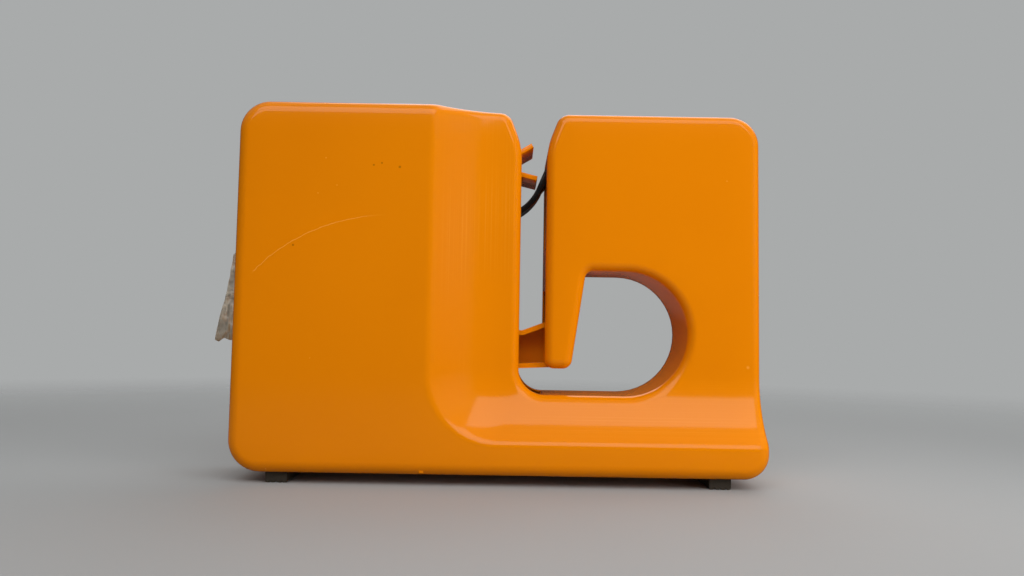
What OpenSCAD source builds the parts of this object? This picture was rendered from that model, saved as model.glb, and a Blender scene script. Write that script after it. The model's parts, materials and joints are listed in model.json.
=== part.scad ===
// Household bag sealer: a standing plastic housing with a roll of adhesive tape in its
// left half and an open-topped throat beside it. A bag's neck is pushed down the throat,
// turns the star wheel, takes tape off the guide finger, tips the cutter lever and
// leaves under the tongue into the D-shaped hand hole.
// +Z is up, the front faces -Y, and the origin lies between the feet on the table.

/* [Housing] */
// Overall width of the housing
body_w = 200; // [190:1:230]
// Height of the housing above its feet
body_h = 139; // [136:1:150]
// Depth of the housing at the raised plateau
body_d = 45; // [43:0.5:52]
// Height of the plateau above the lower front level
step_d = 12.5; // [8:0.5:14]
// Width of the plateau over the tape roll
plateau_w = 74.1; // [73:0.1:80]
// Width of the hollow sweep between plateau and throat
sweep_w = 32.9; // [31:0.1:38]
// Height of the raised band along the foot of the housing
band_h = 12.4; // [10:0.1:14]
// Height of the hollow sweep above that band
sweep_h = 25; // [22:0.5:28]
// Radius of the plateau's inner corner
sweep_r = 25; // [18:1:30]
// Wall thickness of the mouldings
wall = 2.2; // [1.8:0.1:2.6]
// Rounding of the front edges on the lower level
edge_r = 3.5; // [2:0.1:4]
// Rounding of the front edges on the plateau
plateau_edge_r = 5; // [3:0.1:5.2]
// Depth of the back shell's rim
rim_d = 5; // [4.5:0.1:7]
// Bevel round the back face
back_bevel = 1; // [0.5:0.1:1.5]
// Radius of the bottom left corner
corner_bl = 12; // [10:0.5:14]
// Radius of the bottom right corner
corner_br = 9.5; // [8:0.5:14]
// Radius of the two top corners
corner_top = 11.5; // [9:0.5:14]

/* [Throat and hand hole] */
// Width of the throat
slot_w = 9.95; // [9:0.05:12]
// Run of the sloped lead-in on either side
lead_run = 5; // [3:0.5:6]
// Depth of the sloped lead-in
lead_drop = 13; // [10:0.5:15]
// Radius at the lead-in's top corners
lead_r = 5; // [2:0.5:5.5]
// Radius where the lead-in meets the throat
lead_blend = 25; // [15:1:30]
// Height of the sill under the hand hole
sill_h = 29.2; // [28:0.1:33]
// Height of the hand hole
hole_h = 48; // [46:0.5:52]
// Reach of the hand hole from the tongue's throat side
hole_w = 55.2; // [52:0.1:60]
// Gap between the tongue's tip and the sill
tip_gap = 10.1; // [9:0.1:11]
// Radius of the tongue's tip
tip_r = 3.6; // [2.4:0.1:4]
// Width of the tongue at its tip
tip_w = 10.2; // [10:0.1:12]
// Width of the tongue at its root
root_w = 15.8; // [15:0.1:18]
// Radius of the sill's corner under the throat
sill_r = 10; // [8:0.5:12]

/* [Tape] */
// Radius of a full roll of tape
roll_r = 31; // [26:0.5:32]
// Width of the tape
tape_w = 12; // [9:0.5:13]
// Inner radius of the tape's core
core_r = 12.7; // [11:0.1:14]
// Wall of the tape's core
core_t = 1.8; // [1.2:0.1:2.5]
// Thickness to which the running tape is drawn
tape_t = 0.3; // [0.2:0.05:0.5]
// Radius of the roll's fixed spindle
spindle_r = 4; // [3:0.1:5]
// Radius of the ribbed guide roller
roller_r = 6; // [5:0.1:6.5]

/* [Star wheel and guide finger] */
// Radius over the star wheel's teeth
star_r = 17.5; // [16:0.1:18]
// Number of teeth
star_teeth = 8; // [6:1:9]
// Thickness of a tooth
tooth_t = 1.8; // [1.4:0.1:2.4]
// Width of the star wheel along its axle
star_w = 20; // [18:0.5:20.5]
// Radius of the star wheel's hub
star_hub_r = 4.6; // [4.2:0.1:6]
// Reach of the teeth into the throat
star_bite = 6.7; // [5:0.1:7.5]
// Angle of the first tooth above level
star_phase = 31; // [0:1:44]
// Thickness of the guide finger
finger_t = 2.3; // [1.6:0.1:2.5]
// Width of the guide finger
finger_w = 10; // [8:0.5:11]
// Gap between the star wheel's teeth and the finger
finger_gap = 1; // [0.5:0.1:1.1]
// Sweep of the finger round the star wheel, below level
finger_sweep = 78; // [70:1:80]
// Distance of the finger's pivot behind the tongue's edge
finger_back = 5.2; // [5:0.1:6.5]

/* [Cutter lever] */
// Radius of the lever's boss
lever_hub_r = 8.2; // [7.5:0.1:8.4]
// Reach of the lever from its pivot
lever_reach = 26.6; // [25:0.1:26.8]
// Height of the lever's pivot above the sill
lever_rise = 20.8; // [20:0.1:22]
// Height of the lever's lower edge below its pivot
lever_drop = 11.4; // [10:0.1:12]
// Thickness of the lever's rims and web
lever_t = 1.9; // [1.6:0.1:2.4]
// Radius at which the blade's edge runs
blade_reach = 20.5; // [19:0.1:21]

/* [Fits and fasteners] */
// Running clearance of a pin in its bore, on radius
run_fit = 0.05; // [0.03:0.01:0.08]
// Clearance of a pin in its seat, on radius
seat_fit = 0.02; // [0.01:0.01:0.04]
// Clearance between mouldings that only meet
part_gap = 0.15; // [0.1:0.05:0.25]
// Side clearance of a moving part
side_gap = 0.5; // [0.3:0.05:0.6]
// Radius of the star wheel's axle and the lever's pin
axle_r = 2; // [1.8:0.1:2.4]
// Radius of the finger's pin and the roller's pin
pin_r = 1.5; // [1.2:0.1:1.8]
// Radius of the housing screws
screw_r = 1.5; // [1.2:0.1:1.8]
// Radius of the screw heads
screw_head_r = 2.9; // [2.6:0.1:3.2]
// Height of the rubber feet
foot_h = 4; // [3:0.1:6]
// Width of the rubber feet
foot_w = 8; // [6:0.5:10]
// Length of the rubber feet, front to back
foot_l = 30; // [24:1:32]
// Distance of the feet from the sides
foot_in = 17.8; // [14:0.1:24]

/* [Roll door] */
// Height of the roll door
door_h = 99; // [96:1:104]
// Thickness of the roll door
door_t = 2.2; // [1.8:0.1:2.4]
// Radius of the door's hinge knuckles
knuckle_r = 2; // [1.8:0.1:2.1]
// Radius of the door's hinge pins
hinge_pin_r = 1; // [0.8:0.1:1.1]
// Length of each knuckle
knuckle_l = 10; // [8:1:14]

/* [Hidden] */

ORANGE = "#E08A10";
BLACK = "#1C1B1A";
STEEL = "#B8BBC0";
TAPE = "#D9C893";
RUBBER = "#3B3A30";

// Levels of the housing: y runs from the plateau at the front to the back face
y_front = -body_d / 2;
y_low = y_front + step_d;
y_back = body_d / 2;
y_part = y_back - rim_d;
y_in_low = y_low + wall;
y_in_back = y_back - wall;
y_mid = (y_low + y_back) / 2;

z_base = foot_h;
z_top = z_base + body_h;
x_left = -body_w / 2;
x_right = body_w / 2;

x_crease = x_left + plateau_w;
x_slot = x_crease + sweep_w;
x_tongue = x_slot + slot_w;
z_crease = z_base + band_h;
z_toe = z_crease + sweep_h;
z_sill = z_base + sill_h;
z_tip = z_sill + tip_gap;
z_hole = z_sill + hole_h;
z_lead = z_top - lead_drop;
hole_r = hole_h / 2 - 0.01;
root_r = 3;

// Star wheel, finger and lever
x_star = x_slot + star_bite - star_r;
star_clear = 0.9;
z_star = z_top - wall - star_clear - star_r;
x_finger = x_tongue + finger_back;
z_finger = z_star - 1.4;
finger_hub_r = 3.4;
finger_r = star_r + finger_gap;
finger_lean = 22;
finger_lap = 1.6;
finger_head = 3.5;
x_lever = x_slot - lever_hub_r - 0.05;
z_lever = z_sill + lever_rise;
mech_gap = 1;
y_mech0 = y_mid - star_w / 2;
y_mech1 = y_mid + star_w / 2;

// Tape roll and guide roller
bay_gap = 7;
x_roll = x_left + bay_gap + roll_r;
z_roll = z_base + body_h / 2;
hub_clear = 0.25;
hub_flange_r = core_r + core_t + 3;
hub_flange_t = 1.6;
x_roller = x_crease + 4.4;
z_roller = z_star - star_r - 12.5;

// Roll door
door_gap = 0.3;
x_hinge = x_crease + 0.9;
y_hinge = y_back - knuckle_r;
x_door = x_left + wall + 2.6;
z_door = z_roll - door_h / 2;
door_r = 6;
knuckle_z = [z_door + 0.16 * door_h, z_door + 0.84 * door_h - knuckle_l];

// Screws
boss_r = 4;
screw_in = 11.2;
screw_depth = 12;
screw_low = 6.9;
SCREWS = [[x_left + screw_in, z_base + screw_in], [x_left + screw_in, z_top - screw_in],
          [x_right - screw_in, z_base + screw_in], [x_right - screw_in, z_top - screw_in],
          [x_tongue + hole_w / 2, (z_hole + z_top) / 2 - screw_low]];

round_n = 6;
sweep_n = 11;
edge_n = 5;
eps = 0.01;
$fn = 48;

// Corners of the plan, seen from the front, with the material on the left of the path
PLAN = [[x_left, z_base, corner_bl], [x_right, z_base, corner_br],
        [x_right, z_top, corner_top], [x_tongue + lead_run, z_top, lead_r],
        [x_tongue, z_lead, lead_blend], [x_tongue, z_tip, tip_r],
        [x_tongue + tip_w, z_tip, tip_r], [x_tongue + root_w, z_hole, root_r],
        [x_tongue + hole_w, z_hole, hole_r], [x_tongue + hole_w, z_sill, hole_r],
        [x_slot, z_sill, sill_r], [x_slot, z_lead, lead_blend],
        [x_slot - lead_run, z_top, lead_r], [x_left, z_top, corner_top]];

function unit(v) = v / norm(v);
function cross2(a, b) = a[0] * b[1] - a[1] * b[0];
function left_of(e) = [-e[1], e[0]];
function at(list, i) = list[(i + len(list)) % len(list)];
function point(c) = [c[0], c[1]];

// Direction of the side that leaves corner i
function side(corners, i) = unit(point(at(corners, i + 1)) - point(at(corners, i)));

// Corner i of an outline moved inwards by d
function moved(corners, i, d) =
    let (n1 = left_of(side(corners, i - 1)), n2 = left_of(side(corners, i)))
    point(at(corners, i)) + d * (n1 + n2) / (1 + n1 * n2);

// Points round corner i of an outline moved inwards by d
function corner_points(corners, i, d) =
    let (e1 = side(corners, i - 1), e2 = side(corners, i),
         s = cross2(e1, e2) > 0 ? 1 : -1,
         turn = acos(max(-1, min(1, e1 * e2))),
         r = max(0.3, at(corners, i)[2] - s * d),
         v = moved(corners, i, d),
         start = v - e1 * r * tan(turn / 2),
         c = start + s * r * left_of(e1),
         a0 = atan2(start[1] - c[1], start[0] - c[0]),
         n = max(2, ceil(turn / (at(corners, i)[2] > 5 ? 10 : 23))))
    [for (k = [0 : n]) c + r * [cos(a0 + s * turn * k / n), sin(a0 + s * turn * k / n)]];

// Radius of the front edge at a point of the plan
function edge_at(p) =
    edge_r + (plateau_edge_r - edge_r) * (y_low - surface_y(p)) / step_d;

// Extra points where the front surface climbs along the right side and the top
function sweep_points(i, d, e) =
    i == 1 ? [for (k = [0 : edge_n]) let (z = z_crease + sweep_h * k / edge_n)
              [x_right - d - e * edge_at([x_right, z]), z]]
    : i == 12 ? let (x0 = x_slot - lead_run - 4)
        [for (k = [0 : edge_n]) let (x = x0 + (x_crease - x0) * k / edge_n)
         [x, z_top - d - e * edge_at([x, z_top])]]
    : [];

// The outline moved inwards by d and by e times the front edge's radius
function outline(corners, d, e = 0) =
    [for (i = [0 : len(corners) - 1])
     each concat(corner_points(corners, i, d + e * edge_at(point(corners[i]))),
                 sweep_points(i, d, e))];

// Two triangles for each side of a net of m by n points, closed where it says so
function net(rows, n) =
    [for (k = [0 : rows - 1]) for (i = [0 : n - 1])
     let (a = k * n + i, b = k * n + (i + 1) % n, c = b + n, d = a + n) each [[a, b, c], [a, c, d]]];

// A solid through convex layers of equal point counts: each layer is [points, y], front first
module stack(layers) {
    n = len(layers[0][0]);
    m = len(layers);
    points = [for (l = layers) for (p = l[0]) [p[0], l[1], p[1]]];
    caps = [[for (i = [n - 1 : -1 : 0]) i], [for (i = [0 : n - 1]) (m - 1) * n + i]];
    polyhedron(points = points, faces = concat(caps, net(m - 1, n)), convexity = 10);
}

// A closed ring that runs round the plan's edge: the profile lists how far inside the
// edge and how far behind the surface each of its lines runs, each as a length and a
// share of the front edge's radius
module edge_ring(profile, level) {
    n = len(outline(PLAN, 0));
    m = len(profile);
    points = [for (l = profile) for (p = outline(PLAN, l[0], l[1]))
              [p[0], l[2] + l[3] * edge_at(p) + (level ? level : surface_y(p)), p[1]]];
    faces = [for (f = net(m, n)) [for (i = [2, 1, 0]) f[i] % (m * n)]];
    polyhedron(points = points, faces = faces, convexity = 10);
}

// Extrudes a drawing in x and z from y0 to y1
module slab(y0, y1) {
    translate([0, y1, 0]) rotate([90, 0, 0]) linear_extrude(y1 - y0) children();
}

// A round bar along y
module bar(x, z, y0, y1, r) {
    translate([x, y1, z]) rotate([90, 0, 0]) cylinder(h = y1 - y0, r = r);
}

// Height of the hollow sweep's arc above its toe, at distance s from the toe
function sweep_rise(s) =
    let (r = (pow(sweep_w, 2) + pow(step_d, 2)) / (2 * step_d)) r - sqrt(r * r - s * s);

// The front surface at a point of the plan
function surface_y(p) =
    let (left = max(0, min(1, (x_slot - p[0]) / sweep_w)),
         low = max(0, min(1, (z_toe - p[1]) / sweep_h)))
    y_low - sweep_rise(sweep_w * max(left, low));

// A line that runs down, round a corner and to the right
function sweep_line(x, z, r) = concat(
    [[x, z_top + 5]],
    [for (a = [180 : 10 : 270]) [x + r, z + r] + r * [cos(a), sin(a)]],
    [[x_right + 5, z]]);

function between(a, b, t) = [for (i = [0 : len(a) - 1]) a[i] * (1 - t) + b[i] * t];

// What the hollow sweep and the lower level take off the raised block
module sweep_cut(sink) {
    crease = sweep_line(x_crease, z_crease, sweep_r);
    toe = sweep_line(x_slot, z_toe, 3);
    far = [[x_right + 5, z_top + 5]];
    stack(concat(
        [[concat(crease, far), y_front - 3]],
        [for (k = [0 : sweep_n]) let (t = k / sweep_n)
            [concat(between(crease, toe, t), far),
             y_low - sweep_rise(sweep_w * (1 - t)) + sink * t]]));
}

module plan(d) { polygon(outline(PLAN, d)); }

// ---- Housing

boss_wall = 2.2;
axle_boss_r = axle_r + boss_wall;
pin_boss_r = pin_r + boss_wall - 0.4;
spindle_boss_r = spindle_r + 4;
y_hub = y_mid - tape_w / 2 - 0.2 - hub_flange_t;
washer_t = 0.8;
y_spindle_boss = y_hub - washer_t - 0.2;
y_roller = y_mid - tape_w / 2 - 1.5;
y_finger0 = y_mid - finger_w / 2;
y_finger1 = y_mid + finger_w / 2;
wire_r = 0.35;
spring_l = 4.2;
spring_r = pin_r + wire_r + 0.25;
y_finger_boss = y_finger1 + side_gap + spring_l;
screw_seat = 1.8;

// Outer end of the finger's tail and its distance from the pivot
finger_tail = [x_star + (finger_r + finger_t) * cos(finger_sweep),
               z_star - (finger_r + finger_t) * sin(finger_sweep)];
finger_reach = norm(finger_tail - [x_finger, z_finger]);

// Openings in the throat's walls through which the mechanism swings
module windows() {
    bar(x_star, z_star, y_mech0 - mech_gap, y_mech1 + mech_gap, star_r + 0.8);
    bar(x_lever, z_lever, y_mech0 - mech_gap, y_mech1 + mech_gap, lever_reach + 0.8);
    intersection() {
        bar(x_finger, z_finger, y_finger0 - mech_gap, y_finger1 + mech_gap,
            finger_reach + 0.8);
        slab(y_finger0 - mech_gap, y_finger1 + mech_gap)
            translate([x_slot - 9, z_finger - finger_reach - 1])
                square([x_finger - x_slot + 15,
                        finger_reach + 1 + z_star - z_finger + finger_head + 0.5]);
    }
}

// Slot in the floor for a foot's stem
stem_w = 4;
stem_in = 4;
stem_lap = 1;
stem_head_t = 1.2;
y_foot = y_front + plateau_edge_r + 0.5;
module foot_slot(x) {
    translate([x - stem_w / 2 - part_gap, y_foot + stem_in - part_gap, z_base - 1])
        cube([stem_w + 2 * part_gap, foot_l - 2 * stem_in + 2 * part_gap, wall + 2]);
    // Seat for the stem's head, where the floor grows thicker behind the front
    translate([x - stem_w / 2 - stem_lap - part_gap, y_foot + stem_in - part_gap,
               z_base + wall])
        cube([stem_w + 2 * (stem_lap + part_gap), foot_l - 2 * stem_in + 2 * part_gap,
              stem_head_t + 2 * part_gap]);
}

// What rounds the front edges, wherever the front surface lies
module front_rounding() {
    edge_ring(concat(
        [[-1, 0, 0, 1], [-1, 0, -2, 0], [0, 1, -2, 0]],
        [for (k = [0 : round_n]) let (a = 90 * k / round_n)
            [0, 1 - sin(a), 0, 1 - cos(a)]]), false);
}

module shell_skin() {
    difference() {
        slab(y_front, y_part) plan(0);
        sweep_cut(0);
        front_rounding();
        slab(y_in_low, y_part + 1) plan(wall);
        difference() {
            slab(y_front + wall, y_in_low + 0.1) plan(wall + edge_r / 4);
            translate([-0.6 * wall, wall, -0.6 * wall]) sweep_cut(0.15);
        }
        windows();
    }
}

// A boss that stands on the inside of the front wall and ends at y1
module boss(p, y1, r) {
    bar(p[0], p[1], surface_y(p + [r, r]) + 0.6, y1, r);
}

module front_shell() {
    color(ORANGE) difference() {
        union() {
            shell_skin();
            for (s = SCREWS) boss(s, y_part, boss_r);
            boss([x_star, z_star], y_mech0 - side_gap, axle_boss_r);
            boss([x_lever, z_lever], y_mech0 - side_gap, axle_boss_r);
            boss([x_finger, z_finger], y_finger0 - side_gap, pin_boss_r);
            boss([x_roller, z_roller], y_roller - side_gap, pin_boss_r);
            boss([x_roll, z_roll], y_spindle_boss, spindle_boss_r);
            // Rib between the roll bay and the mechanism
            translate([x_crease - 3, y_front + 1, z_base + 1])
                cube([1.6, y_part - y_front - 3, z_roll - z_base - 18]);
        }
        for (s = SCREWS) bar(s[0], s[1], y_part - screw_depth, y_part + 1, screw_r + seat_fit);
        bar(x_star, z_star, y_mech0 - side_gap - 3.5, y_mech0, axle_r + seat_fit);
        bar(x_lever, z_lever, y_mech0 - side_gap - 3.5, y_mech0, axle_r + seat_fit);
        bar(x_finger, z_finger, y_finger0 - side_gap - 6, y_finger0, pin_r + seat_fit);
        bar(x_roller, z_roller, y_roller - side_gap - 8, y_roller, pin_r + seat_fit);
        bar(x_roll, z_roll, y_spindle_boss - 12, y_spindle_boss + 1, spindle_r + seat_fit);
        foot_slot(x_left + foot_in);
        foot_slot(x_right - foot_in);
    }
}

// Opening for the roll door, grown by g
module door_area(x0, x1, g) {
    offset(r = door_r) offset(delta = -door_r)
        translate([x0 - g, z_door - g]) square([x1 - x0 + 2 * g, door_h + 2 * g]);
}

hinge_lap = 0.8;
ear_t = 3;

// Bar along z on the hinge's axis
module hinge_bar(z0, z1, r) {
    translate([x_hinge, y_hinge, z0]) cylinder(h = z1 - z0, r = r);
}

module back_shell() {
    color(ORANGE) difference() {
        union() {
            difference() {
                slab(y_part, y_back) plan(0);
                edge_ring([[-1, 0, -back_bevel - 1, 0], [back_bevel + 1, 0, 1, 0],
                           [-1, 0, 1, 0]], y_back);
                slab(y_part - 1, y_in_back) plan(wall);
                slab(y_in_back - 1, y_back + 1) door_area(x_door, x_hinge - hinge_lap, 0);
            }
            // Lip that finds the front shell
            difference() {
                slab(y_part - 2, y_in_back + 0.1) difference() {
                    plan(wall + part_gap);
                    plan(wall + part_gap + 1);
                }
                windows();
                for (s = SCREWS) bar(s[0], s[1], y_part - 3, y_part, boss_r + part_gap);
                bar(x_finger, z_finger, y_part - 3, y_finger_boss,
                    spring_r + wire_r + side_gap);
            }
            for (s = SCREWS) bar(s[0], s[1], y_part, y_in_back + 0.1, boss_r);
            bar(x_star, z_star, y_mech1 + side_gap, y_in_back + 0.1, axle_boss_r);
            bar(x_lever, z_lever, y_mech1 + side_gap, y_in_back + 0.1, axle_boss_r);
            bar(x_finger, z_finger, y_finger_boss, y_in_back + 0.1, pin_boss_r);
            for (z = knuckle_z) for (e = [z - door_gap - ear_t, z + knuckle_l + door_gap]) {
                hinge_bar(e, e + ear_t, knuckle_r);
                translate([x_hinge, y_hinge - knuckle_r, e])
                    cube([knuckle_r + 1.5, 2 * knuckle_r - 0.5, ear_t]);
            }
        }
        for (s = SCREWS) {
            bar(s[0], s[1], y_part - 1, y_back + 1, screw_r + 0.2);
            bar(s[0], s[1], y_back - screw_seat, y_back + 1, screw_head_r + 0.2);
        }
        bar(x_star, z_star, y_mech1, y_in_back + 1, axle_r + seat_fit);
        bar(x_lever, z_lever, y_mech1, y_in_back + 1, axle_r + seat_fit);
        bar(x_finger, z_finger, y_finger_boss - 1, y_in_back + 1, pin_r + seat_fit);
        for (z = knuckle_z) {
            hinge_bar(z - door_gap - ear_t - 1, z + knuckle_l + door_gap + ear_t + 1,
                      hinge_pin_r + seat_fit);
            translate([x_hinge - knuckle_r - 1, y_hinge - knuckle_r - 0.5, z - door_gap])
                cube([2 * knuckle_r + 1 + door_gap, 3 * knuckle_r, knuckle_l + 2 * door_gap]);
        }
    }
}

module housing_screws() {
    color(STEEL) for (s = SCREWS) difference() {
        union() {
            bar(s[0], s[1], y_part - screw_depth + 1, y_back - screw_seat + 0.1, screw_r);
            bar(s[0], s[1], y_back - screw_seat, y_back - 0.2, screw_head_r);
        }
        for (a = [0, 90]) translate([s[0], y_back - 0.2, s[1]]) rotate([0, a, 0])
            cube([3.4, 1.8, 0.7], center = true);
    }
}

notch_r = 8;
module roll_door() {
    x_edge = x_hinge - knuckle_r - door_gap;
    color(ORANGE) difference() {
        union() {
            slab(y_back - door_t, y_back) difference() {
                door_area(x_door, x_edge + door_gap, -door_gap);
                translate([x_door - 2, z_roll]) circle(r = notch_r);
            }
            // Stiffening rim inside
            slab(y_back - door_t - 1.6, y_back - door_t + 0.1) difference() {
                door_area(x_door, x_edge + door_gap, -door_gap - 2.5);
                door_area(x_door, x_edge + door_gap, -door_gap - 3.9);
                translate([x_door - 2, z_roll]) circle(r = notch_r + 2);
            }
            for (z = knuckle_z) {
                hinge_bar(z, z + knuckle_l, knuckle_r);
                translate([x_edge - 2, y_back - door_t, z])
                    cube([knuckle_r + door_gap + 2, door_t, knuckle_l]);
            }
        }
        for (z = knuckle_z) hinge_bar(z - 1, z + knuckle_l + 1, hinge_pin_r + run_fit);
    }
}

module door_hinge_pins() {
    color(STEEL) for (z = knuckle_z)
        hinge_bar(z - door_gap - ear_t, z + knuckle_l + door_gap + ear_t, hinge_pin_r);
}

// ---- Tape roll, hub and guide roller

module roll_spindle() {
    color(STEEL) union() {
        bar(x_roll, z_roll, y_spindle_boss - 11.5, y_in_back - 2, spindle_r);
        translate([x_roll, y_in_back - 2, z_roll]) rotate([-90, 0, 0])
            cylinder(h = 1, r1 = spindle_r, r2 = spindle_r - 1);
    }
}

module drag_washer() {
    color(BLACK) difference() {
        bar(x_roll, z_roll, y_spindle_boss + 0.05, y_spindle_boss + 0.05 + washer_t,
            spindle_r + 4);
        bar(x_roll, z_roll, y_spindle_boss - 1, y_hub, spindle_r + 0.2);
    }
}

barrel_t = 1.6;
module roll_hub() {
    barrel_r = core_r - hub_clear;
    y_end = y_mid + tape_w / 2 + 1;
    color(BLACK) difference() {
        union() {
            bar(x_roll, z_roll, y_hub, y_hub + hub_flange_t, hub_flange_r);
            difference() {
                bar(x_roll, z_roll, y_hub, y_end, barrel_r);
                bar(x_roll, z_roll, y_hub + hub_flange_t, y_end + 1, barrel_r - barrel_t);
            }
            bar(x_roll, z_roll, y_hub, y_end, spindle_r + 1.8);
            for (a = [0 : 60 : 179]) translate([x_roll, 0, z_roll]) rotate([0, a, 0])
                translate([-barrel_r + 0.5, y_hub, -0.7])
                    cube([2 * barrel_r - 1, y_end - y_hub - 2, 1.4]);
        }
        bar(x_roll, z_roll, y_hub - 1, y_end + 1, spindle_r + run_fit);
    }
}

module tube(x, z, y0, y1, r0, r1) {
    difference() {
        bar(x, z, y0, y1, r1);
        bar(x, z, y0 - 1, y1 + 1, r0);
    }
}

module tape_core() {
    color("#B79A6A") tube(x_roll, z_roll, y_mid - tape_w / 2, y_mid + tape_w / 2,
                          core_r, core_r + core_t);
}

module tape_roll() {
    color(TAPE) tube(x_roll, z_roll, y_mid - tape_w / 2, y_mid + tape_w / 2,
                     core_r + core_t + 0.05, roll_r);
}

// Points on a circle about c from angle a0 to a1
function arc(c, r, a0, a1, n) =
    [for (k = [0 : n]) let (a = a0 + (a1 - a0) * k / n) c + r * [cos(a), sin(a)]];

// Angle of a vector
function heading(v) = atan2(v[1], v[0]);

// The running tape: off the roll, under the guide roller and up to the finger's tail
tape_off = 0.1 + tape_t / 2;
module tape_web() {
    roll = [x_roll, z_roll];
    roller = [x_roller, z_roller];
    tip = [x_star + (finger_r + 0.4) * cos(finger_sweep + 8),
           z_star - (finger_r + 0.4) * sin(finger_sweep + 8)];
    r1 = roll_r + tape_off;
    r2 = roller_r + tape_off;
    a1 = heading(roller - roll) + acos((r1 + r2) / norm(roller - roll));
    a3 = heading(tip - roller) - acos(r2 / norm(tip - roller));
    line = concat([roll + r1 * [cos(a1), sin(a1)]],
                  arc(roller, r2, a1 + 180, a3 + 360, 8), [tip]);
    n = len(line);
    normals = [for (i = [0 : n - 1])
               left_of(unit(line[min(i + 1, n - 1)] - line[max(i - 1, 0)]))];
    edge = function (s) [for (i = [0 : n - 1]) line[i] + s * tape_t / 2 * normals[i]];
    low = edge(-1);
    high = edge(1);
    color(TAPE) slab(y_mid - tape_w / 2, y_mid + tape_w / 2)
        polygon(concat(low, [for (i = [n - 1 : -1 : 0]) high[i]]));
}

// A torn end of old tape that sticks to the left side
tail_h = 42;
tail_out = 14.8;
tail_rise = 0.34 * body_h;
module tape_tail() {
    // Corners as shares of the end's reach and height
    shares = [[0, 1], [0, 0.24], [0.3, 0.14], [0.6, 0], [1, 0.01], [0.64, 0.38], [0.56, 0.88]];
    color(TAPE) slab(y_mid - tape_w / 3, y_mid - tape_w / 3 + tape_t)
        polygon([for (p = shares)
                 [x_left - p[0] * tail_out, z_base + tail_rise + p[1] * tail_h]]);
}

roller_flange_r = roller_r + 1.4;
module guide_roller() {
    w = tape_w + 3;
    profile = concat([[pin_r + run_fit, 0], [roller_flange_r, 0], [roller_flange_r, 1],
                      [roller_r, 1.4]],
                     [for (k = [0 : 4]) each let (y = 2.2 + k * (w - 6) / 4)
                        [[roller_r, y], [roller_r - 0.6, y + 0.3], [roller_r - 0.6, y + 1],
                         [roller_r, y + 1.3]]],
                     [[roller_r, w - 1.4], [roller_flange_r, w - 1], [roller_flange_r, w],
                      [pin_r + run_fit, w]]);
    color(BLACK) translate([x_roller, y_roller, z_roller]) rotate([-90, 0, 0])
        rotate_extrude() polygon(profile);
}

module roller_pin() {
    y_head = y_roller + tape_w + 3 + 0.2;
    color(STEEL) union() {
        bar(x_roller, z_roller, y_roller - side_gap - 7.5, y_head + 0.5, pin_r);
        bar(x_roller, z_roller, y_head, y_head + 1.2, pin_r + 1.3);
    }
}

// ---- Star wheel

root_fillet = 1.6;
module star_plan() {
    offset(r = -root_fillet) offset(delta = root_fillet) union() {
        circle(r = star_hub_r);
        for (k = [0 : star_teeth - 1]) rotate(star_phase + 360 * k / star_teeth)
            translate([0, -tooth_t / 2]) square([star_r, tooth_t]);
    }
}

module star_wheel() {
    color(ORANGE) difference() {
        slab(y_mech0, y_mech1) translate([x_star, z_star]) star_plan();
        bar(x_star, z_star, y_mech0 - 1, y_mech1 + 1, axle_r + run_fit);
    }
}

module star_axle() {
    color(STEEL) bar(x_star, z_star, y_mech0 - side_gap - 3.3, y_in_back + 0.8, axle_r);
}

// ---- Guide finger

module finger_plan() {
    wheel = [x_star, z_star];
    inner = arc(wheel, finger_r, -finger_lean, -finger_sweep, 20);
    outer = arc(wheel, finger_r + finger_t, -finger_sweep, -finger_lean, 20);
    difference() {
        union() {
            polygon(concat(inner, outer,
                           [[x_tongue + finger_lap, z_star - 4],
                            [x_tongue + finger_lap, z_star + finger_head],
                            [x_tongue + 0.2, z_star + finger_head],
                            [x_tongue - 0.3, z_star + 1]]));
            hull() {
                translate([x_finger, z_finger]) circle(r = finger_hub_r - 1);
                translate([x_tongue + finger_lap - 1, z_star - 0.8]) circle(r = 1);
                translate([x_tongue + finger_lap - 1, z_star - 4]) circle(r = 1);
            }
            translate([x_finger, z_finger]) circle(r = finger_hub_r);
        }
        translate(wheel) circle(r = finger_r);
    }
}

module guide_finger() {
    color(BLACK) difference() {
        slab(y_finger0, y_finger1) finger_plan();
        bar(x_finger, z_finger, y_finger0 - 1, y_finger1 + 1, pin_r + run_fit);
    }
}

module finger_pin() {
    color(STEEL) bar(x_finger, z_finger, y_finger0 - side_gap - 5.5, y_in_back + 0.8, pin_r);
}

// A wire swept along points by rings of a few sides
module wire(points, r, sides) {
    n = len(points);
    dirs = [for (i = [0 : n - 1]) unit(points[min(i + 1, n - 1)] - points[max(i - 1, 0)])];
    rings = [for (i = [0 : n - 1])
             let (u = unit(cross(dirs[i], [0, 1, 0.01])), v = cross(dirs[i], u))
             [for (k = [0 : sides - 1])
              points[i] + r * (u * cos(360 * k / sides) + v * sin(360 * k / sides))]];
    m = sides;
    polyhedron(points = [for (ring = rings) each ring], convexity = 8,
        faces = concat(
            [[for (k = [0 : m - 1]) k], [for (k = [m - 1 : -1 : 0]) (n - 1) * m + k]],
            [for (i = [0 : n - 2]) for (k = [0 : m - 1])
             [i * m + k, (i + 1) * m + k, (i + 1) * m + (k + 1) % m, i * m + (k + 1) % m]]));
}

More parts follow.
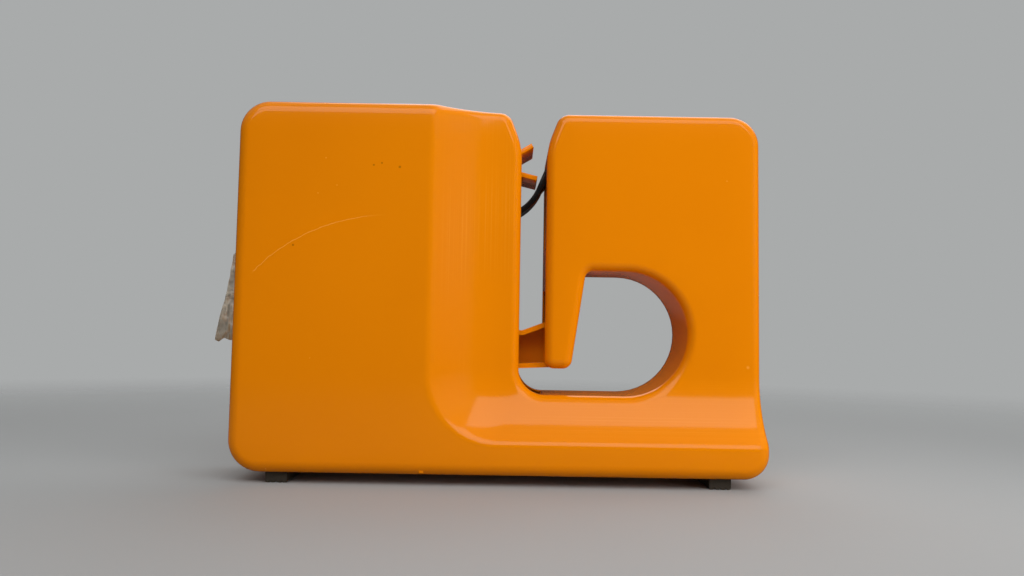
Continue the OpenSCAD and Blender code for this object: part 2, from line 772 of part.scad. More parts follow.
// A torsion spring: its coil about [x, z] from y0 to y1, with a leg at either end
module torsion_spring(x, z, y0, y1, r, turns, a0, leg) {
    n = 12 * turns;
    coil = [for (k = [0 : n]) let (a = a0 + 30 * k)
            [x + r * cos(a), y0 + (y1 - y0) * k / n, z + r * sin(a)]];
    a1 = a0 + 30 * n;
    start = coil[0] + leg * [sin(a0), 0, -cos(a0)];
    end = coil[n] + leg * [-sin(a1), 0, cos(a1)];
    color(STEEL) wire(concat([start], coil, [end]), wire_r, 6);
}

module finger_spring() {
    torsion_spring(x_finger, z_finger, y_finger1 + side_gap, y_finger_boss - wire_r - 0.1,
                   spring_r, 4.5, 90, 4);
}

// ---- Cutter lever

blade_angle = 118;
blade_t = 0.6;
blade_w = 14;
tail_t = 2.4;
lever_slope = 0.385;

module lever_plan() {
    x0 = lever_hub_r + 0.8;
    intersection() {
        circle(r = lever_reach);
        union() {
            circle(r = lever_hub_r);
            polygon([[1, lever_hub_r - 0.2], [x0 - 1.6, 4.4], [x0, 3.7],
                     [lever_reach + 1, 3.7 + lever_slope * (lever_reach + 1 - x0)],
                     [lever_reach + 1, 1.4 - lever_drop], [x0, -lever_drop],
                     [-2, -lever_drop], [-lever_hub_r + 1, -4], [0, 0]]);
        }
    }
}

// Places drawings made along the blade arm, x outwards and y through the depth
module along_blade() {
    translate([x_lever, 0, z_lever]) rotate([0, -blade_angle, 0]) children();
}

RIVETS = [y_mid - 4, y_mid + 4];
rivet_r = 0.9;
rivet_x = 12.4;

module cutter_lever() {
    hub_r = axle_r + 1.9;
    color(ORANGE) difference() {
        union() {
            slab(y_mech0, y_mech1) translate([x_lever, z_lever]) difference() {
                lever_plan();
                offset(delta = -lever_t) lever_plan();
            }
            slab(y_mid - lever_t / 2, y_mid + lever_t / 2)
                translate([x_lever, z_lever]) lever_plan();
            bar(x_lever, z_lever, y_mech0, y_mech1, hub_r);
            along_blade() translate([lever_hub_r - 1, y_mid - blade_w / 2, -tail_t])
                cube([blade_reach - lever_hub_r - 2.5, blade_w, tail_t]);
        }
        bar(x_lever, z_lever, y_mech0 - 1, y_mech1 + 1, axle_r + run_fit);
        along_blade() for (y = RIVETS) translate([rivet_x, y, -tail_t - 1])
            cylinder(h = tail_t + 2, r = rivet_r + seat_fit);
    }
}

module cutter_blade() {
    teeth = 9;
    p = blade_w / teeth;
    x1 = blade_reach - 1.4;
    edge = [for (k = [0 : teeth - 1]) each
            [[x1, y_mid - blade_w / 2 + k * p], [blade_reach, y_mid - blade_w / 2 + (k + 0.5) * p]]];
    color(STEEL) along_blade() translate([0, 0, -tail_t - blade_t - eps]) difference() {
        linear_extrude(blade_t) polygon(concat(
            [[lever_hub_r + 0.4, y_mid - blade_w / 2]], edge,
            [[x1, y_mid + blade_w / 2], [lever_hub_r + 0.4, y_mid + blade_w / 2]]));
        for (y = RIVETS) translate([rivet_x, y, -1])
            cylinder(h = blade_t + 2, r = rivet_r + seat_fit);
    }
}

module blade_rivets() {
    head_t = 0.6;
    color(STEEL) along_blade() for (y = RIVETS) translate([rivet_x, y, 0]) {
        translate([0, 0, -tail_t - blade_t - head_t - 2 * eps])
            cylinder(h = tail_t + blade_t + 2 * head_t + 3 * eps, r = rivet_r);
        translate([0, 0, -tail_t - blade_t - head_t - 2 * eps])
            cylinder(h = head_t, r = rivet_r + 0.8);
        translate([0, 0, eps]) cylinder(h = head_t, r = rivet_r + 0.8);
    }
}

module lever_pin() {
    color(STEEL) bar(x_lever, z_lever, y_mech0 - side_gap - 3.3, y_in_back + 0.8, axle_r);
}

module lever_spring() {
    torsion_spring(x_lever, z_lever, y_mech0 + 0.6, y_mid - lever_t / 2 - wire_r - 0.3,
                   (axle_r + 1.9 + lever_hub_r - lever_t) / 2, 5, 200, 1);
}

// ---- Feet

rib_pitch = 2;
groove_w = 0.3;
module foot(x) {
    ribs = floor(foot_w / rib_pitch);
    rib_w = (foot_w - groove_w * (ribs - 1)) / ribs;
    rib_r = rib_w / 2;
    z_rib = 0.8 * rib_r;
    color(RUBBER) union() {
        difference() {
            for (k = [0 : ribs - 1])
                bar(x - foot_w / 2 + rib_r + k * (rib_w + groove_w), z_rib, y_foot,
                    y_foot + foot_l, rib_r);
            translate([x - foot_w, y_foot - 1, -rib_r]) cube([2 * foot_w, foot_l + 2, rib_r]);
        }
        translate([x - foot_w / 2, y_foot, z_rib]) cube([foot_w, foot_l, foot_h - z_rib]);
        translate([x - stem_w / 2, y_foot + stem_in, foot_h - 0.1])
            cube([stem_w, foot_l - 2 * stem_in, wall + 0.3]);
        translate([x - stem_w / 2 - stem_lap, y_foot + stem_in, foot_h + wall + 0.1])
            cube([stem_w + 2 * stem_lap, foot_l - 2 * stem_in, stem_head_t]);
    }
}

module foot_left() { foot(x_left + foot_in); }
module foot_right() { foot(x_right - foot_in); }

front_shell();
back_shell();
housing_screws();
roll_door();
door_hinge_pins();
roll_spindle();
drag_washer();
roll_hub();
tape_core();
tape_roll();
tape_web();
tape_tail();
guide_roller();
roller_pin();
star_wheel();
star_axle();
guide_finger();
finger_pin();
finger_spring();
cutter_lever();
lever_pin();
lever_spring();
cutter_blade();
blade_rivets();
foot_left();
foot_right();
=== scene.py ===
"""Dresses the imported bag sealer: its moulded housing, tape mechanism, roll door and feet."""
import json
import math

import bmesh
import bpy
from mathutils import Matrix, Vector, noise


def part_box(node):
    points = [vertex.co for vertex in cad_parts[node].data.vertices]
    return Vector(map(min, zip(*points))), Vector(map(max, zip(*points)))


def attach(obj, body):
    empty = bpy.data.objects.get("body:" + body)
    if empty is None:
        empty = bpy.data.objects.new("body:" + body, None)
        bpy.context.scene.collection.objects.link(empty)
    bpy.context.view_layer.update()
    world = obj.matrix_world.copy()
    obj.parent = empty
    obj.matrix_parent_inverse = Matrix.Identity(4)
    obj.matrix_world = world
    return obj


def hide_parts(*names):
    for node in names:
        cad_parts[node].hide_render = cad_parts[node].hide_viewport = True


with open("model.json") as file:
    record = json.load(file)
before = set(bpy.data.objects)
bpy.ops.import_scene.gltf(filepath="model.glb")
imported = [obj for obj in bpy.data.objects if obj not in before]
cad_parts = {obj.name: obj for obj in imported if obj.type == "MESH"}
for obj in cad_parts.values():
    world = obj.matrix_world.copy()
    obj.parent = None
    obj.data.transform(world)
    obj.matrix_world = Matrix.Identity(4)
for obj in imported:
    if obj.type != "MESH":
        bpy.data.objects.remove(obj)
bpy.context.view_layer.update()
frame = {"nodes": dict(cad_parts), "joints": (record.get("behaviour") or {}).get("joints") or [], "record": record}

bl_info = {
    "name": "Bag Sealer",
    "version": (1, 0, 0),
    "blender": (4, 5, 0),
    "location": "3D View > Sidebar > Bag Sealer",
    "description": "Moulded housing, tape mechanism and stage of a household bag sealer",
    "category": "Add Mesh",
}

MM = 0.001

# The housing's faces, as the frame has them
X_LEFT, Y_FRONT, Z_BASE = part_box("front_shell")[0]
X_RIGHT, Y_PART, Z_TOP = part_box("front_shell")[1]
Y_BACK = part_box("back_shell")[1].y

# Finishes that pieces name
ABS = "Moulded orange ABS"
ACETAL = "Moulded black acetal"
TORN_FILM = "Crumpled adhesive film"

# Fineness of the meshes: steps of a square corner, then spacings and distances
CORNER_STEPS = 12
SWEEP_GRID = 0.75 * MM
FLAT_GRID = 8 * MM
FILM_GRID = 0.7 * MM
RIM_GRID = 1.2 * MM
CUT_SNAP = 0.05 * MM
MERGE = 0.002 * MM
HAIR = 0.01 * MM

# Sizes that the pieces share; turns are in degrees
AXLE = 2 * MM
RUN_FIT = 0.05 * MM
SCREW_HEAD = 2.9 * MM
SCREW_SEAT = 1.8 * MM
DOOR_GAP = 0.3 * MM
DOOR_CORNER = 5.7 * MM
EAR = 3 * MM
KNUCKLE = 10 * MM
TEETH = 8
TOOTH = 1.8 * MM
TOOTH_PHASE = 31
TOOTH_ROUND = 0.28 * MM
STAR_REACH = 17.5 * MM
FINGER_INNER = 18.5 * MM
FINGER_BAND = 2.3 * MM
FINGER_TIP = 78
FINGER_ROOT = 22
FINGER_LAP = 1.6 * MM
FINGER_HEAD = 3.5 * MM
BLADE_HEADING = 118

# Wear on the front: the long scratch's arc, then places and radii in millimetres
SCRATCH_CENTRE = (-41.6 * MM, 30.5 * MM)
SCRATCH_RADIUS = 69 * MM
SCRATCH_ENDS = (-51 * MM, 0 * MM)
PALE_NICKS = [((-0.0618, Y_FRONT, 0.1105), 0.35), ((-0.0698, Y_FRONT, 0.0462), 0.3),
              ((-0.0688, Y_FRONT, 0.1074), 0.4), ((0.0868, Y_FRONT + 0.0125, 0.117), 0.4),
              ((0.0897, Y_FRONT + 0.0035, 0.0224), 0.5),
              ((0.0948, Y_FRONT + 0.012, 0.045), 0.9)]
DARK_DENTS = [((-0.0774, Y_FRONT, 0.0878), 0.5), ((-0.0483, Y_FRONT, 0.1183), 0.45),
              ((-0.0453, Y_FRONT, 0.1191), 0.4), ((-0.0386, Y_FRONT, 0.1177), 0.55)]

# The torn film's outline from the wall's foot point: x and z in millimetres
FILM_OUTLINE = [(0.6, 42), (0.6, 1), (-4, 1.6), (-8, 0.8), (-10.6, 1.7), (-12.5, 0.2),
                (-14.1, 0.9), (-13.7, 4.9), (-12.2, 11.9), (-10.5, 18.8), (-9.2, 26.8),
                (-8.3, 34.9), (-4.4, 39)]

# Inner and outer radius of the rib that runs round the lever's hub, and its step below the rim
HUB_RING = (6.3 * MM, 8.2 * MM)
RING_STEP = 0.2 * MM

# The lever's outline from its pivot: x, z and the corner's radius, in millimetres
LEVER_CORNERS = [(-2, -11.4, 3), (24.1, -10.2, 1), (26.6, -0.4, 18), (24.4, 9.6, 0.8),
                 (9, 3.7, 2), (7.3, 4.5, 0.8), (4.4, 8.1, 3.5), (-8.1, 8.1, 8), (-8.1, -4.4, 5)]

# Lamps: name, place, width, height, power in watts, and whether gloss mirrors it
LAMPS = [("window", (0, -0.8, 0.9), 1.5, 0.85, 8.8, True),
         ("side", (0.34, -0.22, 0.18), 0.3, 0.3, 0.26, False),
         ("back", (0.3, 0.62, 1.0), 1.4, 0.9, 6.5, True)]
WIDE_BEAM = 180
NARROW_BEAM = 75

# The camera: place in metres, turns in degrees, lens and sensor in millimetres
CAMERA_PLACE = (0.00396, -0.3116, 0.05396)
CAMERA_PITCH = 3.8
CAMERA_ROLL = 0.96
CAMERA_LENS = 27.6
CAMERA_SENSOR = 36

# The floor's half width, and the distances between which it fades into the background
FLOOR_REACH = 6
FLOOR_FADE = (0.28, 0.85)


# ---- Sizes and colours

def length(name, description, default):
    """A size property, given in millimetres."""
    return bpy.props.FloatProperty(name=name, description=description, default=default * MM,
                                   unit="LENGTH", subtype="DISTANCE", precision=5)


def colour(name, description, default):
    """A colour property, given as an sRGB hex value."""
    return bpy.props.StringProperty(name=name, description=description, default=default)


class HousingSizes(bpy.types.PropertyGroup):
    """Outline, front surface and wall of the two shells."""
    plateau_width: length("Plateau", "Width of the raised plateau", 74.1)
    sweep_width: length("Sweep width", "Width of the hollow sweep beside the plateau", 32.9)
    band_height: length("Band", "Height of the raised band along the foot", 12.4)
    sweep_height: length("Sweep height", "Height of the hollow sweep over the band", 25)
    sweep_radius: length("Sweep corner", "Radius of the plateau's inner corner", 25)
    toe_radius: length("Toe corner", "Radius of the sweep's corner at its toe", 3)
    step: length("Step", "Height of the plateau over the lower level", 12.5)
    crease: length("Crease", "Rounding of the crease along the plateau", 1.7)
    wall: length("Wall", "Thickness of the mouldings", 2.2)
    edge: length("Front edge", "Radius of the front edges on the lower level", 3.5)
    plateau_edge: length("Plateau edge", "Radius of the front edges on the plateau", 5)
    back_edge: length("Back edge", "Radius of the back edges", 1)
    seam: length("Seam", "Bevel on either side of the parting line", 0.22)
    throat: length("Throat", "Width of the throat", 9.95)
    lead_run: length("Lead run", "Run of the sloped lead-in", 5)
    lead_drop: length("Lead drop", "Depth of the sloped lead-in", 13)
    lead_corner: length("Lead corner", "Radius at the lead-in's top corners", 5)
    lead_blend: length("Lead blend", "Radius where the lead-in meets the throat", 25)
    sill: length("Sill", "Height of the sill under the hand hole", 29.2)
    hole_height: length("Hole height", "Height of the hand hole", 48)
    hole_reach: length("Hole reach", "Reach of the hand hole from the throat", 55.2)
    tip_gap: length("Tip gap", "Gap between the tongue's tip and the sill", 10.1)
    tip_width: length("Tongue tip", "Width of the tongue at its tip", 10.2)
    root_width: length("Tongue root", "Width of the tongue at its root", 15.8)
    tip_corner: length("Tip corner", "Radius of the tongue's tip", 3.6)
    root_corner: length("Root corner", "Radius at the tongue's root", 3)
    sill_corner: length("Sill corner", "Radius of the sill's corner under the throat", 10)
    corner_left: length("Left foot corner", "Radius of the bottom left corner", 12)
    corner_right: length("Right foot corner", "Radius of the bottom right corner", 9.5)
    corner_top: length("Top corners", "Radius of the two top corners", 11.5)


class Finishes(bpy.types.PropertyGroup):
    """Colours of the mouldings, metals and films."""
    orange: colour("Orange", "Colour of the moulded housing", "#E58200")
    orange_deep: colour("Deep orange", "Colour of the housing in its darker flows", "#DB7A00")
    # The scratch colour also paints the highlight streaks along the sweep
    scratch: colour("Scratch", "Colour of scratches in the gloss", "#F3A336")
    dent: colour("Dent", "Colour of small dents and rubbed dirt", "#7E3F00")
    black: colour("Black", "Colour of the finger, hub and roller", "#151311")
    steel: colour("Steel", "Colour of the zinc-plated steel", "#B4B7BA")
    spring: colour("Spring steel", "Colour of the blade and springs", "#9FA2A6")
    card: colour("Card", "Colour of the tape's core", "#A8865A")
    film: colour("Film", "Colour of the adhesive film", "#E2D9C6")
    # Colour that the torn film turns towards its lower end
    film_lower_tint: colour("Soil", "Colour of dirt on the torn film", "#9A7A52")
    rubber: colour("Rubber", "Colour of the feet", "#2C251B")
    floor: colour("Floor", "Colour of the floor and background", "#A9ABAB")


# ---- Materials

def linear(hex_value):
    """An sRGB hex value as linear red, green, blue and alpha."""
    parts = [int(hex_value[i:i + 2], 16) / 255 for i in (1, 3, 5)]
    return [c / 12.92 if c <= 0.04045 else ((c + 0.055) / 1.055) ** 2.4 for c in parts] + [1]


def feed(node, inputs):
    """Gives sockets a value, another socket, or another node's first output."""
    for key, value in inputs.items():
        if isinstance(value, bpy.types.Node):
            value = next(o for o in value.outputs if o.enabled)
        if isinstance(value, bpy.types.NodeSocket):
            node.id_data.links.new(value, node.inputs[key])
        else:
            node.inputs[key].default_value = value


def add(tree, kind, inputs=None, **settings):
    """Adds a shader node, named without its prefix, with its settings and its inputs."""
    node = tree.nodes.new("ShaderNode" + kind)
    for key, value in settings.items():
        setattr(node, key, value)
    feed(node, inputs or {})
    return node


def new_material(name, inputs):
    """A material with its node tree, its one Principled shader and its object coordinates."""
    material = bpy.data.materials.new(name)
    material.use_nodes = True
    tree = material.node_tree
    shader = tree.nodes["Principled BSDF"]
    feed(shader, inputs)
    coords = add(tree, "TexCoord").outputs["Object"]
    return material, tree, shader, coords


def streaks(tree, coords, turn, grain, share):
    """A mask of fine straight scratches: turn is their lie, grain their spacing in metres
    and share how much of the surface they reach."""
    laid = add(tree, "Mapping", {"Vector": coords, "Rotation": (0, turn, turn / 3),
               "Scale": (0.02 / grain, 1 / grain, 1 / grain)})
    lines = add(tree, "TexNoise", {"Vector": laid, "Scale": 1, "Detail": 1})
    patch = add(tree, "TexNoise", {"Vector": coords, "Scale": 30, "Detail": 2})
    both = folded(tree, [lines, patch], "ADD")
    return add(tree, "MapRange", {"Value": both, "From Min": 2 - share,
               "From Max": 2 - share + 0.06})


def spot(tree, coords, place, radius, ragged):
    """A mask of one round mark with a ragged edge, at a place in metres."""
    far = add(tree, "VectorMath", {0: coords, 1: place}, operation="DISTANCE")
    torn = add(tree, "Math", {0: ragged, 1: radius, 2: far}, operation="MULTIPLY_ADD")
    return add(tree, "MapRange", {"Value": torn, "From Min": 1.6 * radius, "From Max": radius})


def about_axis(tree, coords, x, z):
    """Coordinates from an axis along y as separate X, Y and Z, and the distance from it."""
    moved = add(tree, "Mapping", {"Vector": coords, "Location": (-x, 0, -z)})
    parts = add(tree, "SeparateXYZ", {"Vector": moved})
    flat = add(tree, "CombineXYZ", {"X": parts.outputs["X"], "Y": parts.outputs["Z"]})
    return parts, add(tree, "VectorMath", {0: flat}, operation="LENGTH")


def folded(tree, masks, operation):
    """Several masks as one, by the same operation from each to the next."""
    mask = masks[0]
    for other in masks[1:]:
        mask = add(tree, "Math", {0: mask, 1: other}, operation=operation)
    return mask


def bent_scratch(tree, coords, ragged):
    """A mask of one long scratch that follows an arc across the plateau."""
    parts, radius = about_axis(tree, coords, *SCRATCH_CENTRE)
    wander = add(tree, "Math", {0: ragged, 1: 0.9 * MM, 2: radius}, operation="MULTIPLY_ADD")
    off = add(tree, "Math", {0: wander, 1: SCRATCH_RADIUS + 0.45 * MM}, operation="SUBTRACT")
    width = add(tree, "Math", {0: off}, operation="ABSOLUTE")
    line = add(tree, "MapRange", {"Value": width, "From Min": 0.22 * MM, "From Max": 0.08 * MM})
    ends = add(tree, "MapRange", {"Value": parts.outputs["X"], "From Min": SCRATCH_ENDS[0],
               "From Max": SCRATCH_ENDS[0] + 1.5 * MM})
    fade = add(tree, "MapRange", {"Value": parts.outputs["X"], "From Min": SCRATCH_ENDS[1],
               "From Max": SCRATCH_ENDS[1] - 14 * MM})
    upper = add(tree, "Math", {0: parts.outputs["Z"], 1: 0}, operation="GREATER_THAN")
    front = add(tree, "SeparateXYZ", {"Vector": coords})
    face = add(tree, "Math", {0: front.outputs["Y"], 1: Y_FRONT + 1 * MM}, operation="LESS_THAN")
    return folded(tree, [line, ends, fade, upper, face], "MULTIPLY")


def moulded_abs(finishes):
    """Injection-moulded ABS: a glossy skin over strong pigment, with faint ripple from the
    mould, painted highlight streaks along the sweep, one long scratch, dents and pale specks."""
    material, tree, shader, coords = new_material(ABS, {"IOR": 1.53, "Specular IOR Level": 0.25})
    flow = add(tree, "TexNoise", {"Vector": coords, "Scale": 16, "Detail": 2})
    body = add(tree, "Mix", {"Factor": flow, "A": linear(finishes.orange_deep),
               "B": linear(finishes.orange)}, data_type="RGBA")
    ragged = add(tree, "TexNoise", {"Vector": coords, "Scale": 420, "Detail": 3})

    # Pale marks: hair-fine scratches, the long scratch, and specks where the gloss is chipped
    fine = streaks(tree, coords, 0.5, 0.35 * MM, 0.5)
    crossed = streaks(tree, coords, -1.1, 0.5 * MM, 0.5)
    dots = add(tree, "TexVoronoi", {"Vector": coords, "Scale": 70})
    speck = add(tree, "MapRange", {"Value": dots, "From Min": 0.028, "From Max": 0.018})
    pale = [fine, crossed, speck, bent_scratch(tree, coords, ragged)]
    pale += [spot(tree, coords, place, radius * MM, ragged) for place, radius in PALE_NICKS]
    dark = [spot(tree, coords, place, radius * MM, ragged) for place, radius in DARK_DENTS]
    worn, dirty = folded(tree, pale, "MAXIMUM"), folded(tree, dark, "MAXIMUM")

    # Painted highlight: lighter streaks that run along the sweep in place of its reflections; the piece's own
    # attribute says how far across they lie
    across = add(tree, "Attribute", attribute_name="across").outputs["Fac"]
    highlight_lines = add(tree, "TexNoise", {"W": across, "Scale": 42, "Detail": 3}, noise_dimensions="1D")
    highlight_lines = add(tree, "MapRange", {"Value": highlight_lines, "From Min": 0.5, "From Max": 0.72})
    rest = add(tree, "Math", {0: 1, 1: across}, operation="SUBTRACT")
    hollow = add(tree, "Math", {0: across, 1: rest}, operation="MULTIPLY")
    hollow = add(tree, "MapRange", {"Value": hollow, "From Min": 0.02, "From Max": 0.1})
    patch = add(tree, "TexNoise", {"Vector": coords, "Scale": 22, "Detail": 1})
    patch = add(tree, "MapRange", {"Value": patch, "From Min": 0.42, "From Max": 0.62})
    place = add(tree, "Math", {0: hollow, 1: patch}, operation="MULTIPLY")
    painted_highlight = add(tree, "Math", {0: highlight_lines, 1: place}, operation="MULTIPLY")
    soft = add(tree, "Math", {0: painted_highlight, 1: 0.16}, operation="MULTIPLY")

    # The skin is lightened by the wear marks and by the painted highlight streaks together
    faint = add(tree, "Math", {0: worn, 1: 0.42, 2: soft}, operation="MULTIPLY_ADD")
    lighter = add(tree, "Mix", {"Factor": faint, "A": body, "B": linear(finishes.scratch)},
                  data_type="RGBA")
    faded = add(tree, "Math", {0: dirty, 1: 0.6}, operation="MULTIPLY")
    skin = add(tree, "Mix", {"Factor": faded, "A": lighter, "B": linear(finishes.dent)},
               data_type="RGBA")
    rough = add(tree, "MapRange", {"Value": faint, "From Max": 0.42, "To Min": 0.1,
                "To Max": 0.38})
    ripple = add(tree, "TexNoise", {"Vector": coords, "Scale": 95, "Detail": 1})
    bump = add(tree, "Bump", {"Height": ripple, "Strength": 0.05, "Distance": 0.35 * MM})
    feed(shader, {"Base Color": skin, "Roughness": rough, "Normal": bump})
    return material


def moulded_acetal(finishes):
    """Moulded acetal: near-black, with a soft sheen and a fine eroded grain."""
    material, tree, shader, coords = new_material(ACETAL, {
        "IOR": 1.48, "Base Color": linear(finishes.black)})
    grain = add(tree, "TexNoise", {"Vector": coords, "Scale": 900, "Detail": 3})
    rough = add(tree, "MapRange", {"Value": grain, "To Min": 0.16, "To Max": 0.32})
    bump = add(tree, "Bump", {"Height": grain, "Strength": 0.08, "Distance": 0.1 * MM})
    feed(shader, {"Roughness": rough, "Normal": bump})
    return material


def drawn_steel(name, tint, spacing, gloss):
    """Drawn or rolled steel: bright, with fine lines along its length; spacing is the lines'
    distance in metres and gloss the roughness between them."""
    material, tree, shader, coords = new_material(name, {
        "Metallic": 1, "Base Color": linear(tint)})
    laid = add(tree, "Mapping", {"Vector": coords,
               "Scale": (1 / spacing, 0.03 / spacing, 1 / spacing)})
    lines = add(tree, "TexNoise", {"Vector": laid, "Scale": 1, "Detail": 2})
    rough = add(tree, "MapRange", {"Value": lines, "To Min": gloss, "To Max": gloss + 0.25})
    bump = add(tree, "Bump", {"Height": lines, "Strength": 0.1, "Distance": 0.05 * MM})
    feed(shader, {"Roughness": rough, "Normal": bump})
    return material


def wound_card(finishes):
    """Spirally wound card: matt brown board with short fibres."""
    material, tree, shader, coords = new_material("Wound card", {"Roughness": 0.85})
    fibre = add(tree, "TexNoise", {"Vector": coords, "Scale": 1200, "Detail": 4})
    shade = add(tree, "Mix", {"Factor": fibre, "A": [c * 0.7 for c in linear(finishes.card)],
                "B": linear(finishes.card)}, data_type="RGBA")
    feed(shader, {"Base Color": shade})
    return material


def adhesive_film(finishes):
    """Polypropylene film with a thin yellowed adhesive: glossy, slightly see-through, with
    soft creases from handling."""
    material, tree, shader, coords = new_material("Adhesive film", {
        "IOR": 1.49, "Roughness": 0.18, "Transmission Weight": 0.35,
        "Base Color": linear(finishes.film)})
    crease = add(tree, "TexNoise", {"Vector": coords, "Scale": 260, "Detail": 3})
    bump = add(tree, "Bump", {"Height": crease, "Strength": 0.25, "Distance": 0.3 * MM})
    feed(shader, {"Normal": bump})
    return material


def crumpled_film(finishes):
    """Old adhesive film torn off by hand: fibres of lint in cloudy glue, browner and darker
    towards its free lower end."""
    material, tree, shader, coords = new_material(TORN_FILM, {"IOR": 1.49, "Roughness": 0.42})
    laid = add(tree, "Mapping", {"Vector": coords, "Rotation": (0, 0.25, 0),
               "Scale": (900, 900, 130)})
    fibre = add(tree, "TexNoise", {"Vector": laid, "Scale": 1, "Detail": 5})
    low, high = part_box("tape_tail")
    parts = add(tree, "SeparateXYZ", {"Vector": coords})
    # The film darkens towards its lower end
    darker_below = add(tree, "MapRange", {"Value": parts.outputs["Z"],
                 "From Min": low.z + 0.3 * (high.z - low.z), "From Max": low.z, "To Min": -0.12,
                 "To Max": 0.06})
    dark = add(tree, "Math", {0: fibre, 1: darker_below}, operation="ADD")
    dark = add(tree, "MapRange", {"Value": dark, "From Min": 0.42, "From Max": 0.62})
    shade = add(tree, "Mix", {"Factor": dark, "A": linear(finishes.film),
                "B": linear(finishes.film_lower_tint)}, data_type="RGBA")
    clear = add(tree, "MapRange", {"Value": fibre, "From Min": 0.4, "From Max": 0.6,
                "To Min": 0.75, "To Max": 0.2})
    bump = add(tree, "Bump", {"Height": fibre, "Strength": 0.5, "Distance": 0.3 * MM})
    feed(shader, {"Base Color": shade, "Transmission Weight": clear, "Normal": bump})
    return material


def wound_film(finishes):
    """The side of a roll of film: hundreds of edges that read as fine rings."""
    material, tree, shader, coords = new_material("Wound adhesive film", {
        "IOR": 1.49, "Coat Weight": 0.2, "Coat Roughness": 0.1})
    low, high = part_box("tape_roll")
    centre = (low + high) / 2
    _, radius = about_axis(tree, coords, centre.x, centre.z)
    winding = add(tree, "TexNoise", {"W": radius, "Scale": 2500, "Detail": 2},
                  noise_dimensions="1D")
    shade = add(tree, "Mix", {"Factor": winding, "A": [c * 0.6 for c in linear(finishes.film)],
                "B": linear(finishes.film)}, data_type="RGBA")
    rough = add(tree, "MapRange", {"Value": winding, "To Min": 0.25, "To Max": 0.5})
    feed(shader, {"Base Color": shade, "Roughness": rough})
    return material


def moulded_rubber(finishes):
    """Moulded rubber: matt olive grey with dust in its grain."""
    material, tree, shader, coords = new_material("Moulded rubber", {
        "IOR": 1.52, "Roughness": 0.75})
    dust = add(tree, "TexNoise", {"Vector": coords, "Scale": 700, "Detail": 4})
    shade = add(tree, "Mix", {"Factor": dust, "A": linear(finishes.rubber),
                "B": [c * 1.6 for c in linear(finishes.rubber)]}, data_type="RGBA")
    bump = add(tree, "Bump", {"Height": dust, "Strength": 0.3, "Distance": 0.1 * MM})
    feed(shader, {"Base Color": shade, "Normal": bump})
    return material


# ---- Mesh helpers

def placed(name, bm):
    """A new object in the scene that holds a copy of a bmesh."""
    mesh = bpy.data.meshes.new(name)
    bm.to_mesh(mesh)
    new = bpy.data.objects.new(name, mesh)
    bpy.context.scene.collection.objects.link(new)
    return new


def finish_piece(bm, name, body, nodes, material, smooth=35):
    """Makes a bmesh a piece: named, shaded, finished, riding on its body."""
    bmesh.ops.remove_doubles(bm, verts=bm.verts, dist=MERGE)
    bmesh.ops.recalc_face_normals(bm, faces=bm.faces)
    piece = placed(name, bm)
    bm.free()
    piece.data.materials.append(bpy.data.materials[material])
    piece.data.shade_smooth()
    piece.data.set_sharp_from_angle(angle=math.radians(smooth))
    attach(piece, body)
    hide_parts(*nodes)


def rounded_face(bm, corners, y):
    """One face in the x-z plane at y: each corner is ((x, z), radius), rounded by a bevel."""
    others = set(bm.faces)
    verts = [bm.verts.new((x, y, z)) for (x, z), _ in corners]
    bm.faces.new(verts)
    bm.normal_update()
    for i, vert in enumerate(verts):
        here = Vector(corners[i][0])
        before = (here - Vector(corners[i - 1][0])).normalized()
        after = (Vector(corners[(i + 1) % len(corners)][0]) - here).normalized()
        turn = before.angle(after)
        radius = corners[i][1]
        if radius > 0:
            steps = max(3, round(CORNER_STEPS * turn / math.radians(90)))
            bmesh.ops.bevel(bm, geom=[vert], offset=radius * math.tan(turn / 2),
                            offset_type="OFFSET", segments=steps, profile=0.5,
                            affect="VERTICES", clamp_overlap=False, material=-1)
    return next(f for f in bm.faces if f not in others)


def extruded(bm, face):
    """Extrudes a face and returns its new corners and the new end face, still unmoved."""
    new = bmesh.ops.extrude_face_region(bm, geom=[face])["geom"]
    return ([e for e in new if isinstance(e, bmesh.types.BMVert)],
            next(e for e in new if isinstance(e, bmesh.types.BMFace)))


def pull_out(bm, face, dy):
    """Makes a face a closed block along y and returns its new end face."""
    verts, end = extruded(bm, face)
    bmesh.ops.translate(bm, vec=(0, dy, 0), verts=verts)
    bmesh.ops.recalc_face_normals(bm, faces=bm.faces)
    return end


def round_rim(bm, face, radius, steps, after=lambda: None):
    """Rounds the rim of an end face by insets that follow a quarter circle outwards."""
    for k in range(steps):
        a, b = math.pi / 2 * k / steps, math.pi / 2 * (k + 1) / steps
        bmesh.ops.inset_region(bm, faces=[face], use_even_offset=True,
                               thickness=radius * (math.cos(a) - math.cos(b)),
                               depth=radius * (math.sin(b) - math.sin(a)))
        after()


def rod(bm, start, end, radius, segments=64):
    """A closed cylinder between two points."""
    way = Vector(end) - Vector(start)
    place = (Matrix.Translation((Vector(start) + Vector(end)) / 2)
             @ way.to_track_quat("Z", "Y").to_matrix().to_4x4())
    return bmesh.ops.create_cone(bm, cap_ends=True, segments=segments, radius1=radius,
                                 radius2=radius, depth=way.length, matrix=place)["verts"]


def cylinder(bm, x, z, y0, y1, radius, segments=64):
    """A closed cylinder along y."""
    return rod(bm, (x, y0, z), (x, y1, z), radius, segments)


def block(bm, low, high):
    """A closed box between two corners."""
    size = [b - a for a, b in zip(low, high)]
    centre = [(a + b) / 2 for a, b in zip(low, high)]
    place = Matrix.Translation(centre) @ Matrix.Diagonal((*size, 1))
    return bmesh.ops.create_cube(bm, size=1, matrix=place)


